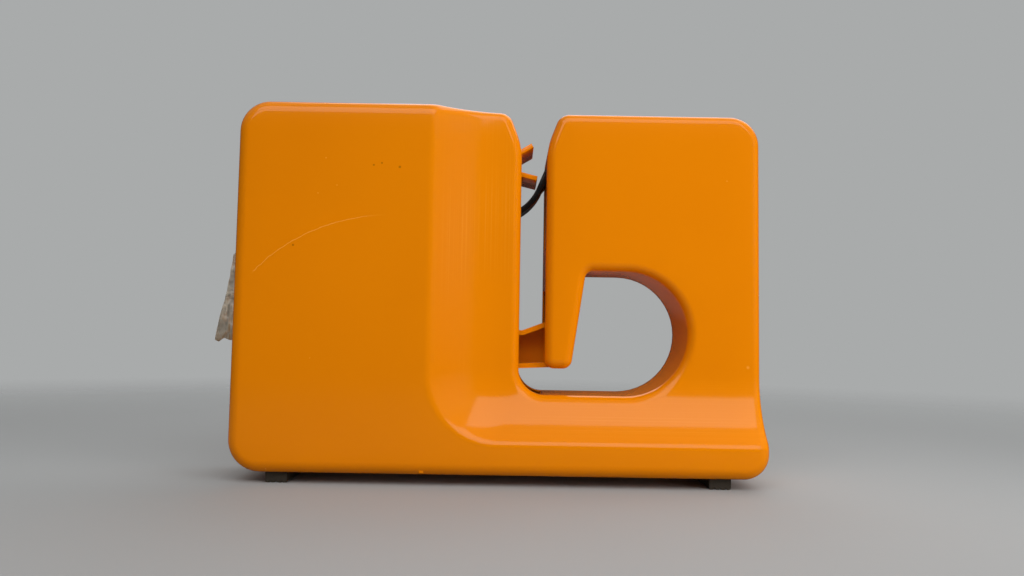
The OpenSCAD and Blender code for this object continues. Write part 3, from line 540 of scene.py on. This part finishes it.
def apply_modifiers(bm, carrier, *tools):
    """Fills a bmesh with its carrier's modified mesh, and removes carrier and tools."""
    bpy.context.view_layer.update()
    result = carrier.evaluated_get(bpy.context.evaluated_depsgraph_get()).to_mesh()
    bm.clear()
    bm.from_mesh(result)
    for spent in (carrier, *tools):
        bpy.data.objects.remove(spent)


def cut(bm, cutters):
    """Takes closed cutters, each made by a function that fills a bmesh, out of a closed bmesh."""
    body = placed("cut", bm)
    tools = []
    for make in cutters:
        tool_bm = bmesh.new()
        make(tool_bm)
        tools.append(placed("cutter", tool_bm))
        tool_bm.free()
        modifier = body.modifiers.new("cut", "BOOLEAN")
        modifier.operation = "DIFFERENCE"
        modifier.solver = "MANIFOLD"
        modifier.object = tools[-1]
    apply_modifiers(bm, body, *tools)


def shell_wall(bm, thickness):
    """Gives an open skin a wall of even thickness on its inner side."""
    bmesh.ops.recalc_face_normals(bm, faces=bm.faces)
    skin = placed("skin", bm)
    modifier = skin.modifiers.new("wall", "SOLIDIFY")
    modifier.thickness = thickness
    modifier.offset = -1
    apply_modifiers(bm, skin)


def soften(bm, edges, radius, segments=2):
    """Rounds edges by a bevel."""
    bmesh.ops.bevel(bm, geom=edges, offset=radius, offset_type="OFFSET", segments=segments,
                    profile=0.5, affect="EDGES", clamp_overlap=True, material=-1)


def sharp_edges(bm, angle):
    """Edges at which two faces meet at more than an angle, in degrees."""
    bm.normal_update()
    return [e for e in bm.edges if e.is_manifold and e.calc_face_angle(0) > math.radians(angle)]


def slice_up(bm, axis, start, end, step):
    """Cuts the mesh by evenly spaced planes across one axis."""
    count = max(1, round((end - start) / step))
    normal = Vector([float(i == axis) for i in range(3)])
    for k in range(count + 1):
        place = normal * (start + (end - start) * k / count)
        bmesh.ops.bisect_plane(bm, geom=bm.verts[:] + bm.edges[:] + bm.faces[:],
                               plane_co=place, plane_no=normal, dist=CUT_SNAP)


# ---- The housing's outline and front surface

class Outline:
    """Places on the housing, worked out from the frame and the sizes."""

    def __init__(self, s):
        self.x_crease = X_LEFT + s.plateau_width
        self.x_slot = self.x_crease + s.sweep_width
        self.x_tongue = self.x_slot + s.throat
        self.z_crease = Z_BASE + s.band_height
        self.z_toe = self.z_crease + s.sweep_height
        self.z_sill = Z_BASE + s.sill
        self.z_hole = self.z_sill + s.hole_height
        self.z_tip = self.z_sill + s.tip_gap
        self.z_lead = Z_TOP - s.lead_drop
        self.y_low = Y_FRONT + s.step
        self.s = s

    def corners(self):
        """Corners seen from the front, with the material on the left of the way round."""
        s = self.s
        x_tongue, x_slot = self.x_tongue, self.x_slot
        x_hole = x_tongue + s.hole_reach
        hole_round = s.hole_height / 2 - HAIR
        return [
            ((X_LEFT, Z_BASE), s.corner_left),
            ((X_RIGHT, Z_BASE), s.corner_right),
            ((X_RIGHT, Z_TOP), s.corner_top),
            ((x_tongue + s.lead_run, Z_TOP), s.lead_corner),
            ((x_tongue, self.z_lead), s.lead_blend),
            ((x_tongue, self.z_tip), s.tip_corner),
            ((x_tongue + s.tip_width, self.z_tip), s.tip_corner),
            ((x_tongue + s.root_width, self.z_hole), s.root_corner),
            ((x_hole, self.z_hole), hole_round),
            ((x_hole, self.z_sill), hole_round),
            ((x_slot, self.z_sill), s.sill_corner),
            ((x_slot, self.z_lead), s.lead_blend),
            ((x_slot - s.lead_run, Z_TOP), s.lead_corner),
            ((X_LEFT, Z_TOP), s.corner_top),
        ]

    def share(self, x, z):
        """How far a point lies across the sweep: 0 at the crease, 1 at its toe."""
        s = self.s

        def ahead(t):
            u = x - (self.x_crease + s.sweep_width * t)
            w = z - (self.z_crease + s.sweep_height * t)
            r = s.sweep_radius + (s.toe_radius - s.sweep_radius) * t
            if u < r and w < r:
                return r - math.hypot(r - u, r - w)
            return min(u, w)

        low, high = -0.2, 1
        if ahead(low) <= 0:
            return low
        if ahead(high) >= 0:
            return high
        # Halves the range until it closes in on the contour through the point
        for _ in range(24):
            middle = (low + high) / 2
            if ahead(middle) > 0:
                low = middle
            else:
                high = middle
        return (low + high) / 2

    def sink(self, x, z):
        """Depth of the front surface behind the plateau, with the crease rounded."""
        s = self.s
        arc = (s.sweep_width ** 2 + s.step ** 2) / (2 * s.step)
        run = s.sweep_width * (1 - self.share(x, z))
        rise = arc - math.sqrt(arc ** 2 - run ** 2)
        near = max(s.crease - abs(rise - s.step), 0) / s.crease
        return s.step - (min(rise, s.step) - near ** 2 * s.crease / 4)

    def edge_at(self, x, z):
        """Radius of the front edge, which grows with the height of the front surface."""
        s = self.s
        return s.edge + (s.plateau_edge - s.edge) * (1 - self.sink(x, z) / s.step)


# ---- Places taken from the frame

def joint_place(name):
    """A point on a joint's axis."""
    return next(Vector(j["pos_m"]) for j in frame["joints"] if j["name"] == name)


def mechanism():
    """Axes of the wheel, lever and finger, and the depth they fill, from the frame."""
    low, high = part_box("star_wheel")
    return (joint_place("star_spin"), joint_place("lever_swing"), joint_place("finger_swing"),
            low.y, high.y)


def screw_places():
    """Middles of the five screw heads, found from the screws' loose solids."""
    mesh = frame["nodes"]["housing_screws"].data
    heads = [v.co for v in mesh.vertices if v.co.y > Y_BACK - SCREW_SEAT]
    groups = []
    for co in heads:
        near = next((g for g in groups if (g[0] - co).length < 3 * SCREW_HEAD), None)
        if near is None:
            groups.append([co])
        else:
            near.append(co)
    return [sum(g, Vector()) / len(g) for g in groups]


def window_cutters():
    """The openings in the throat's walls that let the mechanism swing."""
    star, lever, finger, y0, y1 = mechanism()
    gap, play, finger_out, finger_in, finger_up = 1 * MM, 0.9 * MM, 6 * MM, 0.5 * MM, 4 * MM
    star_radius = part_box("star_wheel")[1].z - star.z + play
    lever_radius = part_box("cutter_lever")[1].x - lever.x + play
    finger_low, finger_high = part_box("guide_finger")
    finger_radius = math.hypot(finger.x - finger_low.x, finger.z - finger_low.z) + gap
    return [
        lambda bm: cylinder(bm, star.x, star.z, y0 - gap, y1 + gap, star_radius, 96),
        lambda bm: cylinder(bm, lever.x, lever.z, y0 - gap, y1 + gap, lever_radius, 96),
        lambda bm: block(bm, (finger_low.x - finger_out, finger_low.y - gap,
                              finger.z - finger_radius),
                         (finger.x - finger_in, finger_high.y + gap, star.z + finger_up)),
    ]


# ---- Operators

def half_shell(bm, plan, y_open, y_end, radius, steps, radius_at):
    """An open skin over the plan: a beveled seam at y_open and a rounded rim at y_end, whose
    radius may change along the rim."""
    s = plan.s
    way = 1 if y_end > y_open else -1
    face = rounded_face(bm, plan.corners(), y_open + way * s.seam)
    cap = pull_out(bm, face, y_end - y_open - way * (s.seam + radius))
    for side in cap.edges[:]:
        start, end = [radius_at(v.co.x, v.co.z) for v in side.verts]
        if abs(start - end) > CUT_SNAP:
            bmesh.ops.bisect_edges(bm, edges=[side], cuts=int(side.calc_length() / RIM_GRID))
    foot = [v.co.copy() for v in cap.verts]
    moves = {}

    def note_ring():
        for vert, base in zip(cap.verts, foot):
            grow = radius_at(base.x, base.z) / radius
            moves[tuple(vert.co)] = (base.x + (vert.co.x - base.x) * grow,
                                     y_end + (vert.co.y - y_end) * grow,
                                     base.z + (vert.co.z - base.z) * grow)

    note_ring()
    round_rim(bm, cap, radius, steps, note_ring)
    for vert in bm.verts:
        vert.co = moves.get(tuple(vert.co), vert.co)
    start = min(bm.faces, key=lambda f: way * f.calc_center_median().y)
    bmesh.ops.inset_region(bm, faces=[start], use_even_offset=True, thickness=s.seam,
                           depth=s.seam)
    bmesh.ops.delete(bm, geom=[start], context="FACES")


class SEALER_OT_front_shell(bpy.types.Operator):
    """Model the front shell: plateau, hollow sweep, throat and hand hole."""
    bl_idname = "sealer.front_shell"
    bl_label = "Front Shell"

    def execute(self, context):
        s = context.scene.sealer_housing
        plan = Outline(s)
        bm = bmesh.new()
        half_shell(bm, plan, Y_PART, Y_FRONT, s.edge, 8, plan.edge_at)
        before, past, border = 3 * MM, 2 * MM, 12 * MM
        slice_up(bm, 0, plan.x_crease - before, plan.x_slot + past, SWEEP_GRID)
        slice_up(bm, 2, plan.z_crease - before, plan.z_toe + past, SWEEP_GRID)
        slice_up(bm, 0, X_LEFT + border, X_RIGHT - border, FLAT_GRID)
        slice_up(bm, 2, Z_BASE + border, Z_TOP - border, FLAT_GRID)
        bmesh.ops.triangulate(bm, faces=[f for f in bm.faces if len(f.verts) > 4])
        for vert in bm.verts:
            if vert.co.y < Y_FRONT + s.plateau_edge + HAIR:
                vert.co.y += plan.sink(vert.co.x, vert.co.z)
        shell_wall(bm, s.wall)
        cut(bm, window_cutters())
        spindle_low, spindle_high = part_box("roll_spindle")
        roll = (spindle_low + spindle_high) / 2
        drum_lap, rib, rib_drop = 4 * MM, 1.6 * MM, 17 * MM
        cylinder(bm, roll.x, roll.z, Y_FRONT + s.wall / 2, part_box("drag_washer")[0].y,
                 spindle_high.x - roll.x + drum_lap)
        x_rib = plan.x_crease - before
        block(bm, (x_rib, Y_FRONT + s.wall / 2, Z_BASE + s.wall / 2),
              (x_rib + rib, Y_PART - past, roll.z - rib_drop))
        # How far across the sweep each point lies, which places the painted highlight streaks
        across = bm.verts.layers.float.new("across")
        for vert in bm.verts:
            if vert.co.y < plan.y_low + s.wall:
                vert[across] = min(max(plan.share(vert.co.x, vert.co.z), 0), 1)
        finish_piece(bm, "housing_front", "housing", ["front_shell"], ABS, 32)
        return {"FINISHED"}


def door_corners(grow):
    """The roll door's opening, grown by a clearance, and the radius of its corners."""
    hinge = joint_place("door_hinge")
    low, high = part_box("roll_door")
    edge = hinge.x - (Y_BACK - hinge.y) - DOOR_GAP
    radius = DOOR_CORNER + grow
    return [((low.x - grow, low.z - grow), radius), ((edge + grow, low.z - grow), radius),
            ((edge + grow, high.z + grow), radius), ((low.x - grow, high.z + grow), radius)]


def knuckles():
    """Lower ends of the door's two knuckles, from the pins that run through them."""
    low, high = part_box("door_hinge_pins")
    first = low.z + EAR + DOOR_GAP
    return [first, high.z - EAR - DOOR_GAP - KNUCKLE]


class SEALER_OT_back_shell(bpy.types.Operator):
    """Model the back shell: rounded back, door opening, hinge ears and screw seats."""
    bl_idname = "sealer.back_shell"
    bl_label = "Back Shell"

    def execute(self, context):
        s = context.scene.sealer_housing
        plan = Outline(s)
        bm = bmesh.new()
        half_shell(bm, plan, Y_PART, Y_BACK, s.back_edge, 4, lambda x, z: s.back_edge)
        shell_wall(bm, s.wall)
        hinge = joint_place("door_hinge")
        knuckle_r = Y_BACK - hinge.y

        def opening(tool):
            face = rounded_face(tool, door_corners(DOOR_GAP), Y_BACK - 2 * s.wall)
            pull_out(tool, face, 4 * s.wall)

        def notch(z):
            return lambda tool: block(
                tool, (hinge.x - knuckle_r - 1 * MM, Y_BACK - 2 * s.wall, z - DOOR_GAP),
                (hinge.x + knuckle_r + DOOR_GAP, Y_BACK + s.wall, z + KNUCKLE + DOOR_GAP))

        def seat(place):
            return lambda tool: cylinder(tool, place.x, place.z, Y_BACK - SCREW_SEAT,
                                         Y_BACK + s.wall, SCREW_HEAD + 0.2 * MM)

        cut(bm, [opening, *[notch(z) for z in knuckles()], *[seat(p) for p in screw_places()]])
        for z in knuckles():
            for end in (z - DOOR_GAP - EAR, z + KNUCKLE + DOOR_GAP):
                rod(bm, (hinge.x, hinge.y, end), (hinge.x, hinge.y, end + EAR), knuckle_r, 32)
        finish_piece(bm, "housing_back", "housing", ["back_shell"], ABS, 32)
        return {"FINISHED"}


class SEALER_OT_roll_door(bpy.types.Operator):
    """Model the roll door: a rounded plate with a thumb notch, two bars and two knuckles."""
    bl_idname = "sealer.roll_door"
    bl_label = "Roll Door"

    def execute(self, context):
        hinge = joint_place("door_hinge")
        knuckle_r = Y_BACK - hinge.y
        low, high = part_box("roll_door")
        plate, rim, inset, bar = 2.2 * MM, 0.5 * MM, 4 * MM, 1.4 * MM
        bm = bmesh.new()
        face = rounded_face(bm, door_corners(0), Y_BACK - plate)
        cap = pull_out(bm, face, plate - rim)
        round_rim(bm, cap, rim, 3)
        z_middle = (low.z + high.z) / 2
        thumb, thumb_out = 8 * MM, 2 * MM
        cut(bm, [lambda tool: cylinder(tool, low.x - thumb_out, z_middle, Y_BACK - 2 * plate,
                                       Y_BACK + plate, thumb, 96)])
        edge = hinge.x - knuckle_r - DOOR_GAP
        for z in knuckles():
            rod(bm, (hinge.x, hinge.y, z), (hinge.x, hinge.y, z + KNUCKLE), knuckle_r, 32)
            block(bm, (edge - 2 * MM, Y_BACK - plate, z), (hinge.x, Y_BACK, z + KNUCKLE))
        for z in (low.z + inset, high.z - inset):
            block(bm, (low.x + inset, Y_BACK - plate - 1.6 * MM, z - bar / 2),
                  (edge - inset, Y_BACK - plate / 2, z + bar / 2))
        finish_piece(bm, "door_panel", "door", ["roll_door"], ABS)
        return {"FINISHED"}


class SEALER_OT_star_wheel(bpy.types.Operator):
    """Model the star wheel: flat teeth that grow out of a faceted hub."""
    bl_idname = "sealer.star_wheel"
    bl_label = "Star Wheel"

    def execute(self, context):
        star, _, _, y0, y1 = mechanism()
        radius = TOOTH / (2 * math.sin(math.pi / (2 * TEETH)))
        bm = bmesh.new()
        cylinder(bm, star.x, star.z, y0, y1, radius, 2 * TEETH)
        turn = math.radians(TOOTH_PHASE) - math.pi / (2 * TEETH)
        bmesh.ops.rotate(bm, cent=star, verts=bm.verts, matrix=Matrix.Rotation(-turn, 3, "Y"))

        def heading(face):
            way = face.calc_center_median() - star
            return math.degrees(math.atan2(way.z, way.x)) - TOOTH_PHASE

        pitch = 360 / TEETH
        roots = [f for f in bm.faces if abs(f.normal.y) < 0.5
                 and abs((heading(f) + pitch / 2) % pitch - pitch / 2) < 1]
        grown = bmesh.ops.extrude_discrete_faces(bm, faces=roots)["faces"]
        for tip in grown:
            way = tip.calc_center_median() - star
            way.y = 0
            bmesh.ops.translate(bm, verts=tip.verts,
                                vec=way.normalized() * (STAR_REACH - way.length))
        bmesh.ops.remove_doubles(bm, verts=bm.verts, dist=0.001 * MM)
        bmesh.ops.recalc_face_normals(bm, faces=bm.faces)
        cut(bm, [lambda tool: cylinder(tool, star.x, star.z, y0 - 1 * MM, y1 + 1 * MM,
                                       AXLE + RUN_FIT, 48)])
        about_bore = AXLE + 1.5 * MM
        soften(bm, [e for e in sharp_edges(bm, 30)
                    if (e.verts[0].co - star).length > about_bore], TOOTH_ROUND)
        finish_piece(bm, "toothed_wheel", "star", ["star_wheel"], ABS)
        return {"FINISHED"}


class SEALER_OT_guide_finger(bpy.types.Operator):
    """Model the guide finger: a curved band spun about the wheel's axis, on its own boss."""
    bl_idname = "sealer.guide_finger"
    bl_label = "Guide Finger"

    def execute(self, context):
        plan = Outline(context.scene.sealer_housing)
        star, _, pivot, _, _ = mechanism()
        low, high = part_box("guide_finger")
        inner, outer = FINGER_INNER, FINGER_INNER + FINGER_BAND
        bm = bmesh.new()

        def along(radius, first, last, count=28):
            turns = [math.radians(first + (last - first) * k / count) for k in range(count + 1)]
            return [(star.x + radius * math.cos(t), star.z - radius * math.sin(t))
                    for t in turns]

        wall, root, x_arm = plan.x_tongue, star.z - 4 * MM, plan.x_tongue + 0.7 * MM
        head = [(wall + FINGER_LAP, root), (wall + FINGER_LAP, star.z + FINGER_HEAD),
                (wall + 0.2 * MM, star.z + FINGER_HEAD), (wall - 0.3 * MM, star.z + 1 * MM)]
        band = (along(inner, FINGER_ROOT, FINGER_TIP) + along(outer, FINGER_TIP, FINGER_ROOT)
                + head)
        face = rounded_face(bm, [(place, 0) for place in band], low.y)
        pull_out(bm, face, high.y - low.y)
        soften(bm, sharp_edges(bm, 50), 0.35 * MM, 3)
        hub = high.x - pivot.x
        arm = rounded_face(bm, [((x_arm, root), 0), ((pivot.x, pivot.z - hub), 0),
                                ((pivot.x, pivot.z + hub), 0), ((x_arm, star.z), 0)], low.y)
        pull_out(bm, arm, high.y - low.y)
        cylinder(bm, pivot.x, pivot.z, low.y, high.y, hub, 48)
        finish_piece(bm, "curved_finger", "finger", ["guide_finger"], ACETAL)
        return {"FINISHED"}


class SEALER_OT_cutter_lever(bpy.types.Operator):
    """Model the cutter lever: rims about a thin web, a ringed boss and the blade's arm."""
    bl_idname = "sealer.cutter_lever"
    bl_label = "Cutter Lever"

    def execute(self, context):
        _, pivot, _, y0, y1 = mechanism()
        rim, web, hub, middle = 1.9 * MM, 1.9 * MM, AXLE + 1.9 * MM, (y0 + y1) / 2
        corners = [((pivot.x + x * MM, pivot.z + z * MM), r * MM) for x, z, r in LEVER_CORNERS]
        bm = bmesh.new()
        face = rounded_face(bm, corners, y0)
        pull_out(bm, face, y1 - y0)
        sides = [f for f in bm.faces if abs(f.normal.y) > 0.99]
        for side in sides:
            bmesh.ops.inset_region(bm, faces=[side], thickness=rim, depth=0,
                                   use_even_offset=True)
            sunk, _ = extruded(bm, side)
            y = sunk[0].co.y
            to_web = middle + math.copysign(web / 2, y - middle) - y
            bmesh.ops.translate(bm, verts=sunk, vec=(0, to_web, 0))
        soften(bm, sharp_edges(bm, 50), 0.25 * MM)
        cylinder(bm, pivot.x, pivot.z, y0, y1, hub, 48)
        inner, outer = HUB_RING
        ring = [bm.verts.new((pivot.x - r, y, pivot.z)) for r, y in
                ((inner, y0 + RING_STEP), (outer, y0 + RING_STEP), (outer, y1 - RING_STEP),
                 (inner, y1 - RING_STEP))]
        loop = [bm.edges.new((ring[k - 1], ring[k])) for k in range(4)]
        bmesh.ops.spin(bm, geom=[*ring, *loop], cent=pivot, axis=(0, 1, 0),
                       angle=2 * math.pi, steps=72, use_merge=True)
        root, tip, half, thick = 7 * MM, 17.9 * MM, 7 * MM, 2.4 * MM
        arm = block(bm, (pivot.x + root, middle - half, pivot.z - thick),
                    (pivot.x + tip, middle + half, pivot.z))["verts"]
        bmesh.ops.rotate(bm, cent=pivot, verts=arm,
                         matrix=Matrix.Rotation(-math.radians(BLADE_HEADING), 3, "Y"))
        finish_piece(bm, "tipping_lever", "lever", ["cutter_lever"], ABS)
        return {"FINISHED"}


class SEALER_OT_finish_nodes(bpy.types.Operator):
    """Make the materials and give each solid of the frame its finish."""
    bl_idname = "sealer.finish_nodes"
    bl_label = "Finishes"

    def execute(self, context):
        finishes = context.scene.sealer_finishes
        by_slot = {
            "orange_abs": moulded_abs(finishes),
            "black_acetal": moulded_acetal(finishes),
            "zinc_steel": drawn_steel("Zinc-plated steel", finishes.steel, 0.25 * MM, 0.22),
            "spring_steel": drawn_steel("Bright spring steel", finishes.spring, 0.15 * MM, 0.16),
            "core_board": wound_card(finishes),
            "clear_tape": adhesive_film(finishes),
            "foot_rubber": moulded_rubber(finishes),
        }
        slots = {p["node"]: p["material_slot"] for p in frame["record"]["subparts"]}
        for name, node in frame["nodes"].items():
            node.data.materials.clear()
            node.data.materials.append(by_slot[slots[name]])
        frame["nodes"]["tape_roll"].data.materials[0] = wound_film(finishes)
        crumpled_film(finishes)
        return {"FINISHED"}


class SEALER_OT_torn_film(bpy.types.Operator):
    """Model the torn end of old tape: a creased film that sticks to the left wall."""
    bl_idname = "sealer.torn_film"
    bl_label = "Torn Film"

    def execute(self, context):
        low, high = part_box("tape_tail")
        corners = [((X_LEFT + x * MM, low.z + z * MM), 0) for x, z in FILM_OUTLINE]
        bm = bmesh.new()
        rounded_face(bm, corners, (low.y + high.y) / 2)
        held, crease, depth, film = 4 * MM, 5 * MM, 1.4 * MM, 0.12 * MM
        slice_up(bm, 0, low.x, high.x, FILM_GRID)
        slice_up(bm, 2, low.z, high.z, FILM_GRID)
        bmesh.ops.triangulate(bm, faces=bm.faces)
        for vert in bm.verts:
            free = min(1, (high.x - vert.co.x) / held)
            here = Vector((vert.co.x, 0, vert.co.z)) / crease
            fold = abs(noise.noise(here)) + 0.5 * abs(noise.noise(2.3 * here + Vector((7, 0, 3))))
            vert.co.y += free * depth * (fold - 0.3)
        shell_wall(bm, film)
        finish_piece(bm, "torn_film", "housing", ["tape_tail"], TORN_FILM, 60)
        return {"FINISHED"}


class SEALER_OT_stage(bpy.types.Operator):
    """Set the floor, the world, the lamps and the camera."""
    bl_idname = "sealer.stage"
    bl_label = "Stage"

    def execute(self, context):
        scene = context.scene
        finishes = scene.sealer_finishes
        material, tree, shader, coords = new_material("Pale floor", {"Roughness": 0.8})
        path = add(tree, "LightPath")
        bare = linear(finishes.floor)
        # Painted shade in reflections: glossy rays see the floor at a quarter of its colour, so the glossy parts
        # show a darker reflection of it than the floor really gives
        shade = add(tree, "Mix", {"Factor": path.outputs["Is Glossy Ray"],
                    "A": [c * 0.92 for c in bare], "B": [c * 0.25 for c in bare]},
                    data_type="RGBA")
        feed(shader, {"Base Color": shade})
        away = add(tree, "VectorMath", {0: coords}, operation="LENGTH")
        gone = add(tree, "MapRange", {"Value": away, "From Min": FLOOR_FADE[0],
                   "From Max": FLOOR_FADE[1]}, interpolation_type="SMOOTHSTEP")
        open_air = add(tree, "BsdfTransparent")
        blend = add(tree, "MixShader", {"Fac": gone, 1: shader, 2: open_air})
        feed(tree.nodes["Material Output"], {"Surface": blend})
        bm = bmesh.new()
        bmesh.ops.create_grid(bm, x_segments=1, y_segments=1, size=FLOOR_REACH)
        floor = placed("floor", bm)
        bm.free()
        floor.data.materials.append(material)

        world = bpy.data.worlds.new("Studio")
        scene.world = world
        world.use_nodes = True
        tree = world.node_tree
        path = add(tree, "LightPath")
        coords = add(tree, "TexCoord").outputs["Generated"]
        way = add(tree, "SeparateXYZ", {"Vector": coords})
        room = add(tree, "MapRange", {"Value": way.outputs["Y"], "From Min": -0.3, "From Max": 0.3,
                   "To Min": 0.28, "To Max": 0.2})
        ceiling = add(tree, "MapRange", {"Value": way.outputs["Z"], "From Min": 0.25,
                      "From Max": 0.8, "To Min": 0.03, "To Max": 0.35})
        bounced = add(tree, "Mix", {"Factor": path.outputs["Is Glossy Ray"], "A": room,
                      "B": ceiling}, data_type="RGBA")
        seen = add(tree, "Mix", {"Factor": path.outputs["Is Camera Ray"], "A": bounced,
                   "B": linear(finishes.floor)}, data_type="RGBA")
        feed(tree.nodes["Background"], {"Color": seen, "Strength": 1})

        middle = Vector((0, 0, (Z_BASE + Z_TOP) / 2))
        for name, place, width, height, power, mirrored in LAMPS:
            light = bpy.data.lights.new(name, "AREA")
            light.shape = "RECTANGLE"
            light.size = width
            light.size_y = height
            light.energy = power
            light.spread = math.radians(WIDE_BEAM if mirrored else NARROW_BEAM)
            lamp = bpy.data.objects.new(name, light)
            lamp.location = place
            lamp.visible_camera = False
            lamp.visible_glossy = mirrored
            aim = (middle - Vector(place)).to_track_quat("-Z", "Y")
            lamp.rotation_euler = aim.to_euler()
            scene.collection.objects.link(lamp)

        data = bpy.data.cameras.new("Camera")
        data.lens, data.sensor_width = CAMERA_LENS, CAMERA_SENSOR
        camera = bpy.data.objects.new("Camera", data)
        camera.matrix_world = (Matrix.Translation(CAMERA_PLACE)
                               @ Matrix.Rotation(math.radians(90 + CAMERA_PITCH), 4, "X")
                               @ Matrix.Rotation(math.radians(CAMERA_ROLL), 4, "Z"))
        scene.collection.objects.link(camera)
        scene.camera = camera
        scene.view_settings.view_transform = "Standard"
        return {"FINISHED"}


class SEALER_PT_panel(bpy.types.Panel):
    """Lists the pieces of the bag sealer."""
    bl_idname = "SEALER_PT_panel"
    bl_label = "Bag Sealer"
    bl_space_type = "VIEW_3D"
    bl_region_type = "UI"
    bl_category = "Bag Sealer"

    def draw(self, context):
        for operator in OPERATORS:
            self.layout.operator(operator.bl_idname)
        for group in (context.scene.sealer_housing, context.scene.sealer_finishes):
            box = self.layout.box()
            for name in group.__annotations__:
                box.prop(group, name)


OPERATORS = [SEALER_OT_finish_nodes, SEALER_OT_front_shell, SEALER_OT_back_shell,
             SEALER_OT_roll_door, SEALER_OT_star_wheel, SEALER_OT_guide_finger,
             SEALER_OT_cutter_lever, SEALER_OT_torn_film, SEALER_OT_stage]
CLASSES = [HousingSizes, Finishes, *OPERATORS, SEALER_PT_panel]


def register():
    for cls in CLASSES:
        bpy.utils.register_class(cls)
    bpy.types.Scene.sealer_housing = bpy.props.PointerProperty(type=HousingSizes)
    bpy.types.Scene.sealer_finishes = bpy.props.PointerProperty(type=Finishes)


def unregister():
    del bpy.types.Scene.sealer_housing
    del bpy.types.Scene.sealer_finishes
    for cls in reversed(CLASSES):
        bpy.utils.unregister_class(cls)


def main():
    register()
    bpy.ops.sealer.finish_nodes()
    bpy.ops.sealer.front_shell()
    bpy.ops.sealer.back_shell()
    bpy.ops.sealer.roll_door()
    bpy.ops.sealer.star_wheel()
    bpy.ops.sealer.guide_finger()
    bpy.ops.sealer.cutter_lever()
    bpy.ops.sealer.torn_film()
    bpy.ops.sealer.stage()


if __name__ == "__main__":
    main()
